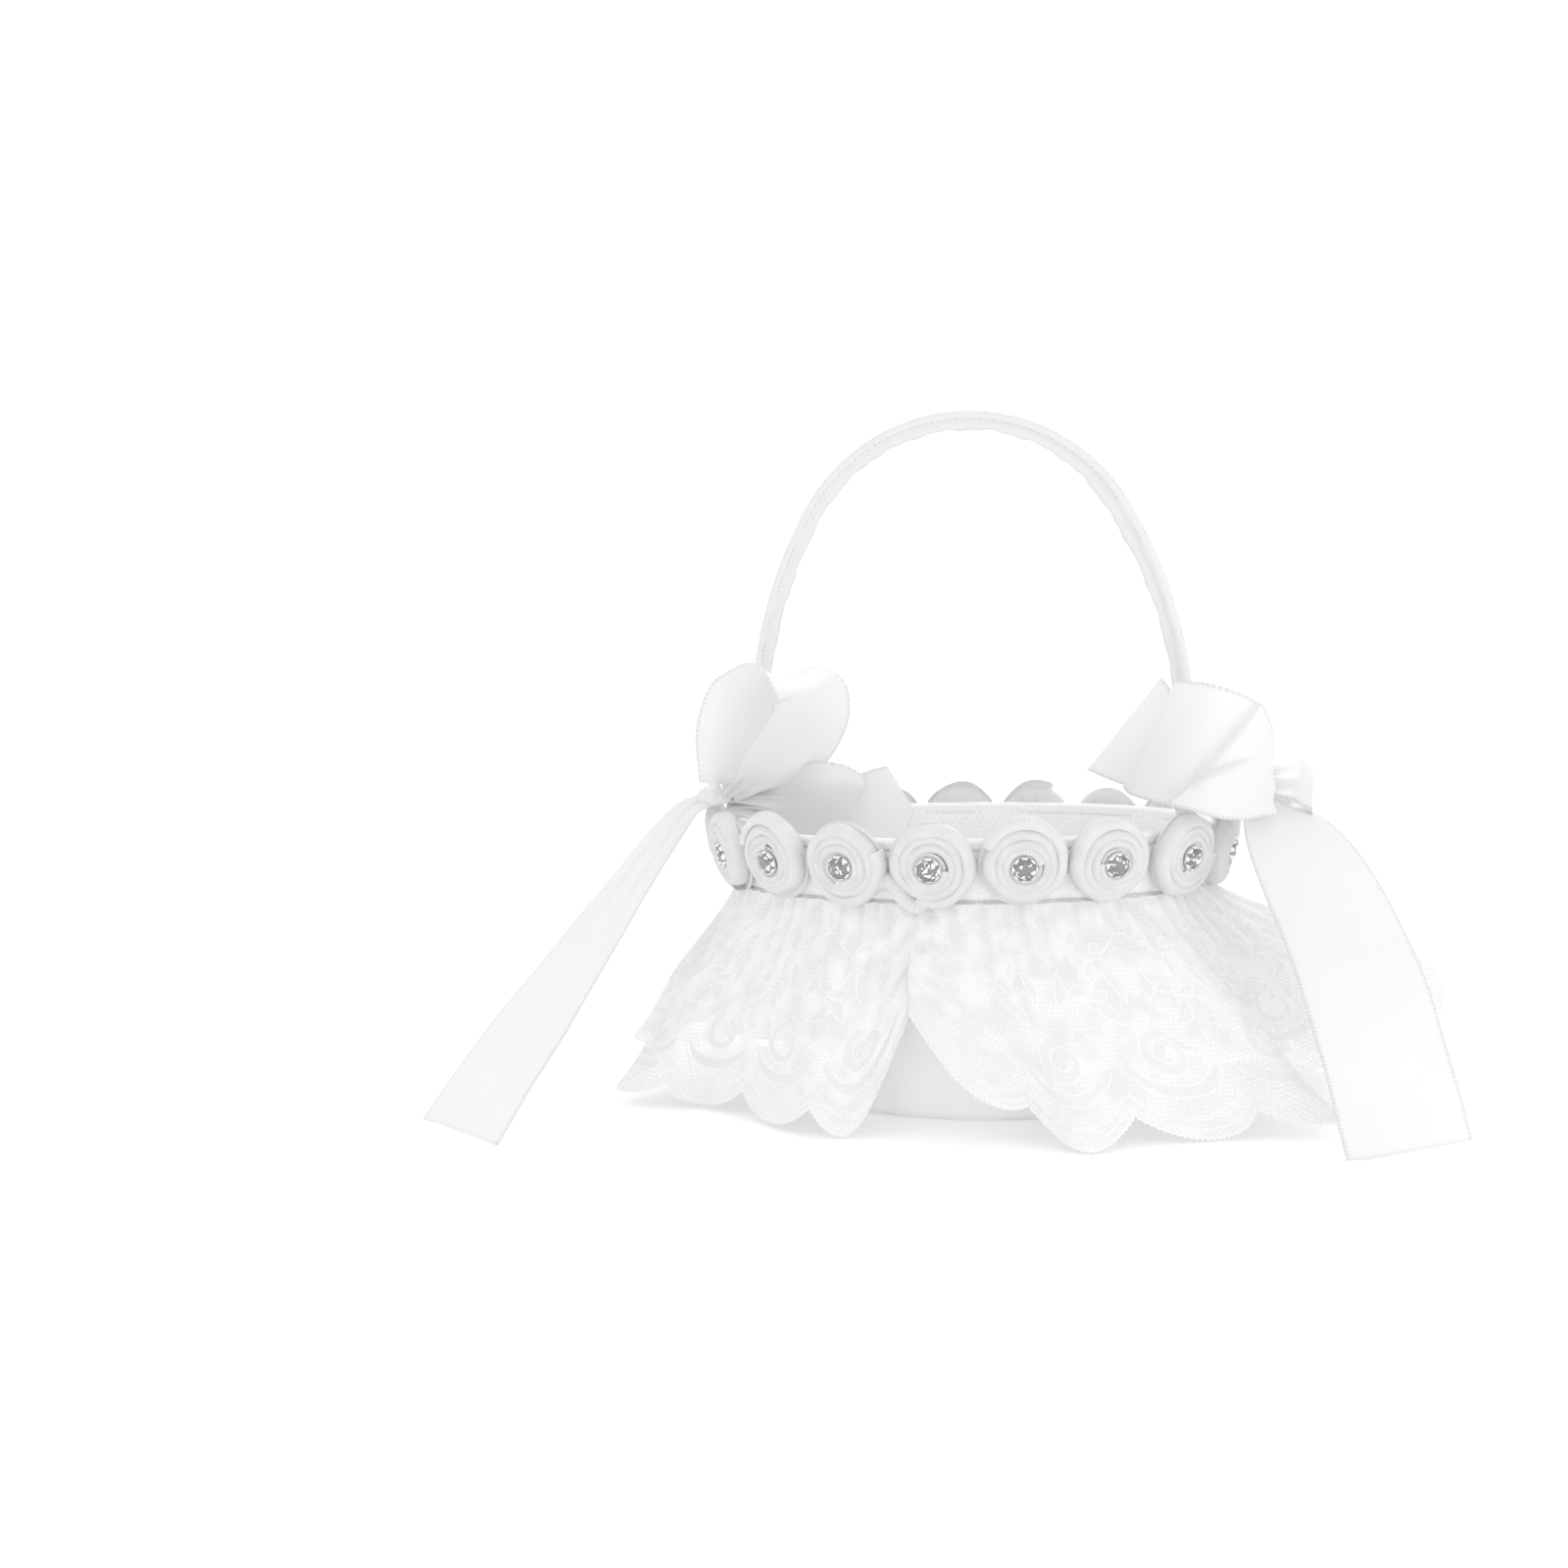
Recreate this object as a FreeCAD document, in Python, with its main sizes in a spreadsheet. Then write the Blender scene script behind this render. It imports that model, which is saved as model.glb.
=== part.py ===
import FreeCAD, Part
import math
import os

import Sketcher
from FreeCAD import Placement, Rotation, Vector

# Flower girl basket, in millimetres.
# X runs along the span of the handle, -Y is the front, +Z is up.
# The origin is the centre of the oval underside that the basket stands on.

doc = FreeCAD.newDocument("FlowerGirlBasket")
nodes = {}

# ---------------------------------------------------------------- driving dimensions

SIZES = {
    # tapered oval pail
    "PailHeight": 90.0,
    "RimHalfLength": 80.0,
    "RimHalfWidth": 64.0,
    "FootHalfLength": 60.5,
    "FootHalfWidth": 45.0,
    "WallThickness": 2.2,
    "SatinThickness": 0.8,
    "NetThickness": 0.8,
    "PadThickness": 3.0,
    "BindingThickness": 0.7,
    "BindingDrop": 2.4,
    "BindingCap": 1.0,
    # rosette strip with its rhinestones
    "TapeLow": 72.0,
    "TapeHigh": 87.0,
    "TapeThickness": 1.0,
    "RosetteGap": 0.25,
    "RosetteCount": 17,
    "RosetteHeight": 84.0,
    "RosetteRadius": 13.7,
    "RosetteBackRadius": 10.5,
    "RosetteDepth": 8.0,
    "CupRadius": 4.2,
    "CupHeight": 2.0,
    "CupWall": 0.6,
    "StoneDepth": 2.6,
    "RuffleLength": 15.0,
    "RuffleHeight": 8.0,
    "RuffleDepth": 3.0,
    # gathered lace
    "LaceTop": 66.0,
    "LaceHem": 0.8,
    "LaceHalfLength": 122.0,
    "LaceHalfWidth": 76.0,
    "LaceShift": 8.0,
    "LaceThickness": 1.2,
    "LaceGap": 0.3,
    "OpeningLeft": -27.0,
    "OpeningRight": 34.0,
    "OpeningPeak": -4.0,
    "OpeningHeight": 34.0,
    # wire handle in its satin sleeve
    "PivotHeight": 84.5,
    "HandleHalfSpan": 72.8,
    "ArchRadius": 61.0,
    "ArchCentre": 162.5,
    "ArchHalfAngle": 60.0,
    "WireRadius": 1.2,
    "EyeRadius": 2.8,
    "PinRadius": 1.3,
    "PinReach": 77.0,
    "PinHeadRadius": 3.0,
    "PinHeadDepth": 1.3,
    "SleeveRadius": 1.6,
    "SleeveFold": 5.6,
    "SleeveFoldDepth": 1.2,
    "SleeveFoot": 92.5,
    # ribbon bows
    "RibbonWidth": 38.0,
    "RibbonThickness": 0.6,
    "RibbonPinch": 9.0,
    "KnotHalfLength": 5.6,
    "KnotHalfWidth": 6.4,
    "KnotHalfHeight": 3.4,
    "KnotSpan": 86.0,
    "KnotForward": 9.0,
    "KnotHeight": 101.9,
}

sheet = doc.addObject("Spreadsheet::Sheet", "Sizes")
for row, (alias, size) in enumerate(SIZES.items(), start=1):
    sheet.set(f"A{row}", alias)
    sheet.set(f"B{row}", str(size))
    sheet.setAlias(f"B{row}", alias)
doc.recompute()


def size(expression):
    """The number that an expression on the sheet stands for."""
    return float(sheet.evalExpression(expression))


def bind(obj, **expressions):
    """Drive properties of an object from the sheet; dots are written as double underscores."""
    for name, expression in expressions.items():
        obj.setExpression(name.replace("__", "."), expression)
    return obj


def keep(obj, name):
    """Register a finished sub-part under the name of its node."""
    obj.Label = name
    nodes[name] = obj
    return obj


# ---------------------------------------------------------------- building blocks

def wall_half_length(z, offset):
    grow = "(Sizes.RimHalfLength - Sizes.FootHalfLength) / Sizes.PailHeight"
    return f"Sizes.FootHalfLength + {grow} * ({z}) + ({offset})"


def wall_half_width(z, offset):
    grow = "(Sizes.RimHalfWidth - Sizes.FootHalfWidth) / Sizes.PailHeight"
    return f"Sizes.FootHalfWidth + {grow} * ({z}) + ({offset})"


def oval(name, z, half_length, half_width, x="0"):
    ring = doc.addObject("Part::Ellipse", name)
    return bind(ring, MajorRadius=half_length, MinorRadius=half_width,
                Placement__Base__x=x, Placement__Base__z=z)


def loft(name, sections):
    solid = doc.addObject("Part::Loft", name)
    solid.Sections = sections
    solid.Solid = True
    solid.Ruled = True
    return solid


def frustum(name, low, high, offset):
    """The solid inside the pail's tapered wall between two heights, grown by offset."""
    rings = [oval(f"{name}_{end}", z, wall_half_length(z, offset), wall_half_width(z, offset))
             for end, z in (("low", low), ("high", high))]
    return loft(name, rings)


def cut(name, base, *tools):
    for number, tool in enumerate(tools, start=1):
        result = doc.addObject("Part::Cut", f"{name}_cut{number}")
        result.Base = base
        result.Tool = tool
        base = result
    return base


def fuse(name, *shapes):
    result = doc.addObject("Part::MultiFuse", name)
    result.Shapes = list(shapes)
    return result


def cylinder(name, radius, height, placement):
    body = doc.addObject("Part::Cylinder", name)
    body.Placement = placement
    return bind(body, Radius=radius, Height=height)


def origin_plane(body, role):
    return next(plane for plane in body.Origin.OriginFeatures if plane.Role == role)


def turned_body(name, outline):
    """A PartDesign body revolved from an outline of (radius, height) expressions."""
    body = doc.addObject("PartDesign::Body", name)
    sketch = body.newObject("Sketcher::SketchObject", f"{name}_outline")
    sketch.AttachmentSupport = (origin_plane(body, "XZ_Plane"), [""])
    sketch.MapMode = "FlatFace"
    corners = [Vector(size(radius), size(height), 0) for radius, height in outline]
    for start, end in zip(corners, corners[1:] + corners[:1]):
        sketch.addGeometry(Part.LineSegment(start, end), False)
    for edge in range(len(corners)):
        following = (edge + 1) % len(corners)
        sketch.addConstraint(Sketcher.Constraint("Coincident", edge, 2, following, 1))
    for edge, (radius, height) in enumerate(outline):
        for kind, axis, expression in (("DistanceX", -2, radius), ("DistanceY", -1, height)):
            if expression == "0":
                sketch.addConstraint(Sketcher.Constraint("PointOnObject", edge, 1, axis))
                continue
            rule = Sketcher.Constraint(kind, -1, 1, edge, 1, size(expression))
            sketch.setExpression(f"Constraints[{sketch.addConstraint(rule)}]", expression)
    turn = body.newObject("PartDesign::Revolution", f"{name}_turn")
    turn.Profile = sketch
    turn.ReferenceAxis = (sketch, ["V_Axis"])
    turn.Angle = 360
    body.Tip = turn
    return body


def ribbon(name, stations, across):
    """A ribbon run through stations of (x, y, z, width), its width lying along one direction."""
    across = Vector(*across).normalize()
    points = [Vector(x, y, z) for x, y, z, _ in stations]
    half_thickness = size("Sizes.RibbonThickness") / 2
    sections = []
    for number, (point, station) in enumerate(zip(points, stations)):
        before = points[max(number - 1, 0)]
        after = points[min(number + 1, len(points) - 1)]
        through = (after - before).cross(across).normalize() * half_thickness
        side = across * (station[3] / 2)
        corners = [point - side - through, point + side - through,
                   point + side + through, point - side + through]
        sections.append([Part.makeLine(start, end) for start, end in zip(corners, corners[1:] + corners[:1])])
    faces = [Part.Face(Part.Wire(section)) for section in (sections[0], sections[-1])]
    for section, following in zip(sections, sections[1:]):
        faces += [Part.makeRuledSurface(edge, partner) for edge, partner in zip(section, following)]
    shell = Part.makeShell(faces)
    shell.sewShape()
    solid = Part.makeSolid(shell)
    if solid.Volume < 0:
        solid.reverse()
    feature = doc.addObject("Part::Feature", name)
    feature.Shape = solid
    feature.Placement = Placement()
    return keep(feature, name)


# ---------------------------------------------------------------- pail, its coverings and lining

SKIN_IN = "-Sizes.SatinThickness"
WALL_IN = "-Sizes.SatinThickness - Sizes.WallThickness"
LINING_IN = f"{WALL_IN} - Sizes.NetThickness"
FLOOR_LOW = "Sizes.SatinThickness"
FLOOR_HIGH = "Sizes.SatinThickness + Sizes.WallThickness"
RIM = "Sizes.PailHeight"
ABOVE_RIM = "Sizes.PailHeight + 3"
BELOW_FOOT = "-3"


def build_pail():
    reach = "2 * Sizes.PinReach"
    bore = cylinder("pin_bore", "Sizes.PinRadius", reach, Placement(Vector(), Rotation(Vector(0, 1, 0), 90)))
    bind(bore, Placement__Base__x="-Sizes.PinReach", Placement__Base__z="Sizes.PivotHeight")
    shell = cut("pail", frustum("pail_outside", FLOOR_LOW, RIM, SKIN_IN),
                frustum("pail_inside", FLOOR_HIGH, ABOVE_RIM, WALL_IN), bore)
    keep(shell, "pail_shell")
    cover = cut("cover", frustum("cover_outside", FLOOR_LOW, RIM, "0"),
                frustum("cover_inside", BELOW_FOOT, ABOVE_RIM, SKIN_IN))
    keep(cover, "satin_cover")
    keep(frustum("foot", "0", FLOOR_LOW, "0"), "satin_foot")
    lining = cut("lining", frustum("lining_outside", FLOOR_HIGH, RIM, WALL_IN),
                 frustum("lining_inside", BELOW_FOOT, ABOVE_RIM, LINING_IN), bore)
    keep(lining, "net_lining")
    pad_high = f"{FLOOR_HIGH} + Sizes.PadThickness"
    keep(frustum("pad", FLOOR_HIGH, pad_high, f"{LINING_IN} - 0.2"), "floor_pad")


def build_binding():
    """The lining's net folded over the rim: an outer fall, a cap and an inner fall."""
    fall = "Sizes.PailHeight - Sizes.BindingDrop"
    cap = "Sizes.PailHeight + Sizes.BindingCap"
    layers = cut("binding_layers", frustum("layers_outside", BELOW_FOOT, RIM, "0"),
                 frustum("layers_inside", BELOW_FOOT, ABOVE_RIM, LINING_IN))
    mouth = frustum("binding_mouth", BELOW_FOOT, ABOVE_RIM, f"{LINING_IN} - Sizes.BindingThickness")
    strip = frustum("binding_outside", fall, cap, "Sizes.BindingThickness")
    keep(cut("binding", strip, mouth, layers), "rim_binding")


def band(name, low, high, thickness):
    """A strip sewn round the outside of the covered wall."""
    return keep(cut(name, frustum(f"{name}_outside", low, high, thickness),
                    frustum(f"{name}_inside", BELOW_FOOT, ABOVE_RIM, "0")), name)


# ---------------------------------------------------------------- rosettes and rhinestones

ROSETTE_OUTLINE = [
    ("0", "0"),
    ("Sizes.RosetteBackRadius", "0"),
    ("Sizes.RosetteRadius - 0.8", "0.4 * Sizes.RosetteDepth"),
    ("Sizes.RosetteRadius", "0.7 * Sizes.RosetteDepth"),
    ("Sizes.RosetteRadius - 1.4", "Sizes.RosetteDepth"),
    ("Sizes.CupRadius + 2.4", "Sizes.RosetteDepth - 0.6"),
    ("Sizes.CupRadius", "Sizes.RosetteDepth - Sizes.CupHeight"),
    ("0", "Sizes.RosetteDepth - Sizes.CupHeight"),
]
FIRST_ROSETTE = 0.518


def rosette_places():
    """Evenly spaced places round the wall, each with local Z square to the sloping wall."""
    height = "Sizes.RosetteHeight"
    back = "Sizes.TapeThickness + Sizes.RosetteGap"
    wall = Part.Ellipse(Vector(), size(wall_half_length(height, back)),
                        size(wall_half_width(height, back))).toShape()
    middle = f"{back} + Sizes.RosetteDepth / 2"
    run = Part.Ellipse(Vector(), size(wall_half_length(height, middle)),
                       size(wall_half_width(height, middle))).toShape()
    slope = math.atan2(size("Sizes.RimHalfLength - Sizes.FootHalfLength"), size("Sizes.PailHeight"))
    count = int(size("Sizes.RosetteCount"))
    places = []
    for number in range(count):
        share = (FIRST_ROSETTE + number / count) % 1.0
        angle = run.getParameterByLength(share * run.Length)
        along = wall.tangentAt(angle)
        outward = Vector(along.y, -along.x, 0).normalize() * math.cos(slope)
        outward.z = -math.sin(slope)
        foot = wall.valueAt(angle)
        foot.z = size(height)
        places.append(Placement(foot, Rotation(Vector(0, 0, 1), outward)))
    return places


def build_rosettes():
    cups = []
    for number, place in enumerate(rosette_places(), start=1):
        rosette = turned_body(f"rosette_{number:02d}", ROSETTE_OUTLINE)
        rosette.Placement = place
        keep(rosette, f"rosette_{number:02d}")
        seat = place.multiply(Placement(Vector(0, 0, size("Sizes.RosetteDepth - Sizes.CupHeight")), Rotation()))
        cups.append(stone_cup(number, seat))
        rhinestone(number, seat.multiply(Placement(Vector(0, 0, size("Sizes.CupWall")), Rotation())))
    group = doc.addObject("Part::Compound", "cups")
    group.Links = cups
    keep(group, "rhinestone_cups")


def stone_cup(number, seat):
    """The plated cup that holds a stone: a short tube with a floor."""
    outside = cylinder(f"cup_outside_{number}", "Sizes.CupRadius - 0.05", "Sizes.CupHeight", Placement())
    inside = cylinder(f"cup_inside_{number}", "Sizes.CupRadius - Sizes.CupWall", "Sizes.CupHeight", Placement())
    bind(inside, Placement__Base__z="Sizes.CupWall")
    cup = cut(f"cup_{number}", outside, inside)
    cup.Placement = seat
    return cup


def rhinestone(number, seat):
    """A ten-sided stone: a straight girdle in the cup and a crown with a flat table."""
    rings = []
    for level, share, height in (("low", 1.0, "0"), ("girdle", 1.0, "0.35 * Sizes.StoneDepth"),
                                 ("table", 0.55, "Sizes.StoneDepth")):
        ring = doc.addObject("Part::RegularPolygon", f"stone_{number}_{level}")
        ring.Polygon = 10
        bind(ring, Circumradius=f"{share} * (Sizes.CupRadius - Sizes.CupWall - 0.05)",
             Placement__Base__z=height)
        rings.append(ring)
    stone = loft(f"stone_{number}", rings)
    stone.Placement = seat
    keep(stone, f"rhinestone_{number:02d}")


def build_ruffle():
    """The loose end of the rosette strip, which hangs under the third and fourth front rosettes."""
    curl = doc.addObject("Part::Ellipsoid", "ruffle")
    bind(curl, Radius1="Sizes.RuffleHeight / 2", Radius2="Sizes.RuffleLength / 2", Radius3="Sizes.RuffleDepth / 2")
    curl.Placement = Placement(Vector(-13, -65.5, 65), Rotation(Vector(0, 0, 1), -6))
    keep(curl, "rosette_strip_end")


# ---------------------------------------------------------------- lace skirt

def lace_cone(name, grow):
    """The flaring skirt from the sewn top edge to the hem, which reaches further to the right."""
    top = oval(f"{name}_top", "Sizes.LaceTop", wall_half_length("Sizes.LaceTop", grow),
               wall_half_width("Sizes.LaceTop", grow))
    hem = oval(f"{name}_hem", "Sizes.LaceHem", f"Sizes.LaceHalfLength + {grow}",
               f"Sizes.LaceHalfWidth + {grow}", x="Sizes.LaceShift")
    return loft(name, [hem, top])


def build_lace():
    """One gathered strip whose two ends part at the front and leave an upside-down V."""
    skirt = cut("skirt", lace_cone("lace_outside", "Sizes.LaceGap + Sizes.LaceThickness"),
                lace_cone("lace_inside", "Sizes.LaceGap"))
    parting = doc.addObject("Part::Wedge", "lace_parting")
    bind(parting, Xmin="Sizes.OpeningLeft", Xmax="Sizes.OpeningRight",
         X2min="Sizes.OpeningPeak - 1", X2max="Sizes.OpeningPeak + 1",
         Ymin="-1", Ymax="Sizes.OpeningHeight", Zmin="20", Zmax="120", Z2min="20", Z2max="120")
    parting.Placement = Placement(Vector(), Rotation(Vector(1, 0, 0), 90))
    keep(cut("lace", skirt, parting), "lace_skirt")


# ---------------------------------------------------------------- handle

def arch(offset, foot):
    """The handle's line, moved outwards by offset: two legs, two side arcs and a top arc."""
    angle = math.radians(size("Sizes.ArchHalfAngle"))
    top_radius = size("Sizes.ArchRadius")
    centre = size("Sizes.ArchCentre")
    span = size("Sizes.HandleHalfSpan")
    side_radius = (span - top_radius * math.sin(angle)) / (1 - math.sin(angle))
    side_x = span - side_radius
    side_z = centre - (side_radius - top_radius) * math.cos(angle)

    def on_side(turn, hand):
        radius = side_radius + offset
        return Vector(hand * (side_x + radius * math.sin(turn)), 0, side_z + radius * math.cos(turn))

    shoulder = math.radians(75)
    upright = math.radians(90)
    crown = Vector(0, 0, centre + top_radius + offset)
    curves = [Part.LineSegment(Vector(-span - offset, 0, foot), on_side(upright, -1)),
              Part.Arc(on_side(upright, -1), on_side(shoulder, -1), on_side(angle, -1)),
              Part.Arc(on_side(angle, -1), crown, on_side(angle, 1)),
              Part.Arc(on_side(angle, 1), on_side(shoulder, 1), on_side(upright, 1)),
              Part.LineSegment(on_side(upright, 1), Vector(span + offset, 0, foot))]
    return Part.Wire([curve.toShape() for curve in curves])


def swept_tube(name, radius, foot):
    path = doc.addObject("Part::Feature", f"{name}_path")
    path.Shape = arch(0, foot)
    ring = doc.addObject("Part::Circle", f"{name}_section")
    bind(ring, Radius=radius)
    ring.Placement = Placement(Vector(-size("Sizes.HandleHalfSpan"), 0, foot), Rotation())
    tube = doc.addObject("Part::Sweep", name)
    tube.Sections = [ring]
    tube.Spine = (path, [f"Edge{number}" for number in range(1, 6)])
    tube.Solid = True
    tube.Frenet = True
    return tube


def build_handle():
    eyes = []
    for side, hand in (("left", "-1"), ("right", "1")):
        eye = doc.addObject("Part::Torus", f"{side}_eye")
        bind(eye, Radius1="Sizes.EyeRadius", Radius2="Sizes.WireRadius")
        eye.Placement = Placement(Vector(), Rotation(Vector(0, 1, 0), 90))
        bind(eye, Placement__Base__x=f"{hand} * Sizes.HandleHalfSpan", Placement__Base__z="Sizes.PivotHeight")
        eyes.append(eye)
    wire = swept_tube("wire_run", "Sizes.WireRadius", size("Sizes.PivotHeight + Sizes.EyeRadius"))
    keep(fuse("wire", wire, *eyes), "handle_wire")

    foot = size("Sizes.SleeveFoot")
    outer = arch(0, foot)
    inner = arch(-size("Sizes.SleeveFold"), foot)
    ends = [Part.makeLine(outer.OrderedVertexes[end].Point, inner.OrderedVertexes[end].Point)
            for end in (0, -1)]
    outline = Part.Wire(Part.__sortEdges__(outer.Edges + inner.Edges + ends))
    face = doc.addObject("Part::Feature", "fold_outline")
    face.Shape = Part.Face(outline)
    fold = doc.addObject("Part::Extrusion", "fold")
    fold.Base = face
    fold.Dir = Vector(0, 1, 0)
    fold.Symmetric = True
    bind(fold, LengthFwd="Sizes.SleeveFoldDepth")
    rolled = swept_tube("sleeve_roll", "Sizes.SleeveRadius", foot)
    bore = swept_tube("sleeve_bore", "Sizes.WireRadius", foot - 1)
    keep(cut("sleeve", fuse("sleeve_solid", rolled, fold), bore), "handle_sleeve")


def build_pins():
    """Two headed pins glued into the wall, one through each eye of the handle's wire."""
    pins = []
    for side, hand in (("left", -1), ("right", 1)):
        inward = Rotation(Vector(0, 1, 0), -90 * hand)
        shank_length = "Sizes.PinReach - Sizes.HandleHalfSpan + Sizes.WireRadius + 0.4"
        shank = cylinder(f"{side}_shank", "Sizes.PinRadius", shank_length,
                         Placement(Vector(), inward))
        head = cylinder(f"{side}_head", "Sizes.PinHeadRadius", "Sizes.PinHeadDepth",
                        Placement(Vector(), inward))
        head_x = "Sizes.HandleHalfSpan - Sizes.WireRadius - 0.4"
        bind(shank, Placement__Base__x=f"{hand} * Sizes.PinReach", Placement__Base__z="Sizes.PivotHeight")
        bind(head, Placement__Base__x=f"{hand} * ({head_x})", Placement__Base__z="Sizes.PivotHeight")
        pins.append(fuse(f"{side}_pin", shank, head))
    group = doc.addObject("Part::Compound", "pins")
    group.Links = pins
    keep(group, "handle_pins")


# ---------------------------------------------------------------- bows

def knot(name, hand):
    pad = doc.addObject("Part::Ellipsoid", name)
    bind(pad, Radius1="Sizes.KnotHalfHeight", Radius2="Sizes.KnotHalfLength", Radius3="Sizes.KnotHalfWidth",
         Placement__Base__x=f"{hand} * Sizes.KnotSpan", Placement__Base__y="-Sizes.KnotForward",
         Placement__Base__z="Sizes.KnotHeight")
    return keep(pad, name)


def build_bows():
    """Each bow is one ribbon: loops, a cut end and a long tail that leave a knot on the rim."""
    full = size("Sizes.RibbonWidth")
    pinch = size("Sizes.RibbonPinch")
    knot("left_bow_knot", -1)
    ribbon("left_bow_loop", [
        (-80.5, -16, 106, pinch), (-75, -23, 112, 26), (-72, -23, 124, 34), (-67, -23, 133, 35),
        (-61, -23, 140, 35), (-52, -23, 143, 35), (-45, -23, 137, 35), (-51, -23, 121, 32),
        (-64, -21, 107, 22), (-77.5, -17, 101, pinch)], (0.40, 0.91, -0.08))
    ribbon("left_bow_side_loop", [
        (-79.5, -11, 99.5, pinch), (-72, -9.5, 99, 11), (-62, -7, 98, 16), (-51, -8.5, 98, 23),
        (-43, -9.5, 99.5, 23), (-37, -7.5, 99, 17), (-42, -4.5, 98, 18), (-54, -3.8, 98, 15),
        (-70, -6.9, 98.5, 9), (-79.5, -9, 98.5, pinch)], (0, -0.25, 0.97))
    ribbon("left_bow_end", [
        (-79.5, -6.8, 98.5, pinch), (-71, -4.8, 98.5, 9), (-62, -1.5, 98, 17), (-50, 0, 96, 24),
        (-37, 0.5, 93, 27), (-22, 1, 93.5, 31)], (0, -0.2, 0.98))
    ribbon("left_bow_tail", [
        (-92.5, -17.5, 96, pinch), (-98, -27, 87, 15), (-109, -43, 67, 22), (-122.5, -61, 43, 31),
        (-135.5, -77, 20, full), (-144.5, -92, 1.2, full)], (0.90, -0.44, 0))
    knot("right_bow_knot", 1)
    ribbon("right_bow_loop", [
        (80, -17.5, 102, pinch), (68, -16, 109, 24), (62, -24, 117, 34), (69, -37, 118, full),
        (82, -42, 116, full), (94, -36, 111, 33), (99, -27, 106.5, 22), (92, -19, 102, pinch)],
        (0.15, 0.1, 0.98))
    ribbon("right_bow_end", [
        (79, -6, 105, pinch), (70, -7.5, 109.5, 22), (61, -8.5, 116, 32), (53, -9, 122.5, full)],
        (0.7, 0, 0.71))
    ribbon("right_bow_side_loop", [
        (93, -7, 103.5, pinch), (102, -5, 108, 20), (110, -4, 103.5, 24), (111, -4, 96, 24),
        (104, -5, 93.5, 20), (94.5, -7, 97, pinch)], (0.1, 0.99, 0))
    ribbon("right_bow_tail", [
        (94, -18, 97, pinch), (103, -25, 90, 26), (113, -33, 75, 34), (124, -44, 52, full),
        (132, -53, 27, full), (138.5, -60, 1.2, full)], (0.93, 0.37, 0))


# ---------------------------------------------------------------- build, check and export

build_pail()
build_binding()
band("rosette_tape", "Sizes.TapeLow", "Sizes.TapeHigh", "Sizes.TapeThickness")
band("lace_heading", "Sizes.LaceTop", "Sizes.TapeLow", "Sizes.TapeThickness")
build_rosettes()
build_ruffle()
build_lace()
build_handle()
build_pins()
build_bows()
doc.recompute()

for obj in doc.Objects:
    if "Invalid" in obj.State or "Error" in obj.State:
        raise RuntimeError(f"{obj.Name} did not compute: {obj.State}")
for name, obj in nodes.items():
    if obj.Shape.isNull() or not obj.Shape.isValid() or not obj.Shape.Solids:
        raise RuntimeError(f"{name} has no valid solid")

os.makedirs("parts", exist_ok=True)
for name, obj in nodes.items():
    obj.Shape.exportStep(f"parts/{name}.step")
    print(f"{name}: {len(obj.Shape.Solids)} solid, {obj.Shape.Volume:.1f} mm3")
print(f"{len(nodes)} nodes")
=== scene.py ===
from math import atan2, pi, radians, sqrt

import bmesh
import bpy
import numpy as np
from mathutils import Matrix, Vector
from numpy import cos, sin


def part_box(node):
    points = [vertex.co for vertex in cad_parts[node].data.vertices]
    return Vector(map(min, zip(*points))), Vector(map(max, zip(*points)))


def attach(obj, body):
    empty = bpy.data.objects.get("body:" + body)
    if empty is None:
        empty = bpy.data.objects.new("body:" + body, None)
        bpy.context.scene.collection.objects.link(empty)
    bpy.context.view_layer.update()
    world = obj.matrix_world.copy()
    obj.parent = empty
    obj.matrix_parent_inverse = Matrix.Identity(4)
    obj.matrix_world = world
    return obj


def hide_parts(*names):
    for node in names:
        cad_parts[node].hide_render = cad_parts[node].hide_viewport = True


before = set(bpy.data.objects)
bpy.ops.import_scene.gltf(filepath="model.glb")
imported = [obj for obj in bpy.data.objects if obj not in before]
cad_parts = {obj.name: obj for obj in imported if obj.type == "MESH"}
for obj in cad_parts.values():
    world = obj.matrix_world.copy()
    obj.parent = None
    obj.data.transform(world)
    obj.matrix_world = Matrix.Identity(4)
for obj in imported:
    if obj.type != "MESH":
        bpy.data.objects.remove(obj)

# Flower girl basket. Lengths are in millimetres until a mesh is made: X runs along the handle's
# span, -Y is the front and +Z is up.

MM = 0.001
UP = np.array([0.0, 0.0, 1.0])
BACKWARDS = np.array([0.0, 1.0, 0.0])
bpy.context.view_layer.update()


def box(node):
    """A CAD node's lowest and highest corners in millimetres."""
    return [np.array(corner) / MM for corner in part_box(node)]


# ---- curves and meshes

def ease(share):
    share = np.clip(share, 0.0, 1.0)
    return share * share * (3.0 - 2.0 * share)


def spline_at(points, at):
    """Points of the Catmull-Rom curve through a list of points; at counts the points from 0."""
    points = np.array(points, float)
    padded = np.vstack([2 * points[0] - points[1], points, 2 * points[-1] - points[-2]])
    start = np.clip(at.astype(int), 0, len(points) - 2)
    part = (at - start)[..., None]
    before, first, second, after = (padded[start + step] for step in range(4))
    return 0.5 * (2 * first + (second - before) * part
                  + (2 * before - 5 * first + 4 * second - after) * part ** 2
                  + (3 * first - before - 3 * second + after) * part ** 3)


def unit(vectors):
    return vectors / np.maximum(np.linalg.norm(vectors, axis=-1, keepdims=True), 1e-9)


def joined(*parts):
    """Points from their coordinates, each a number or an array."""
    return np.stack(np.broadcast_arrays(*parts), axis=-1)


def polar(radius, angle, level):
    """Points from their distance and angle round the Z axis, and their height."""
    return joined(radius * cos(angle), radius * sin(angle), level)


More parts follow.
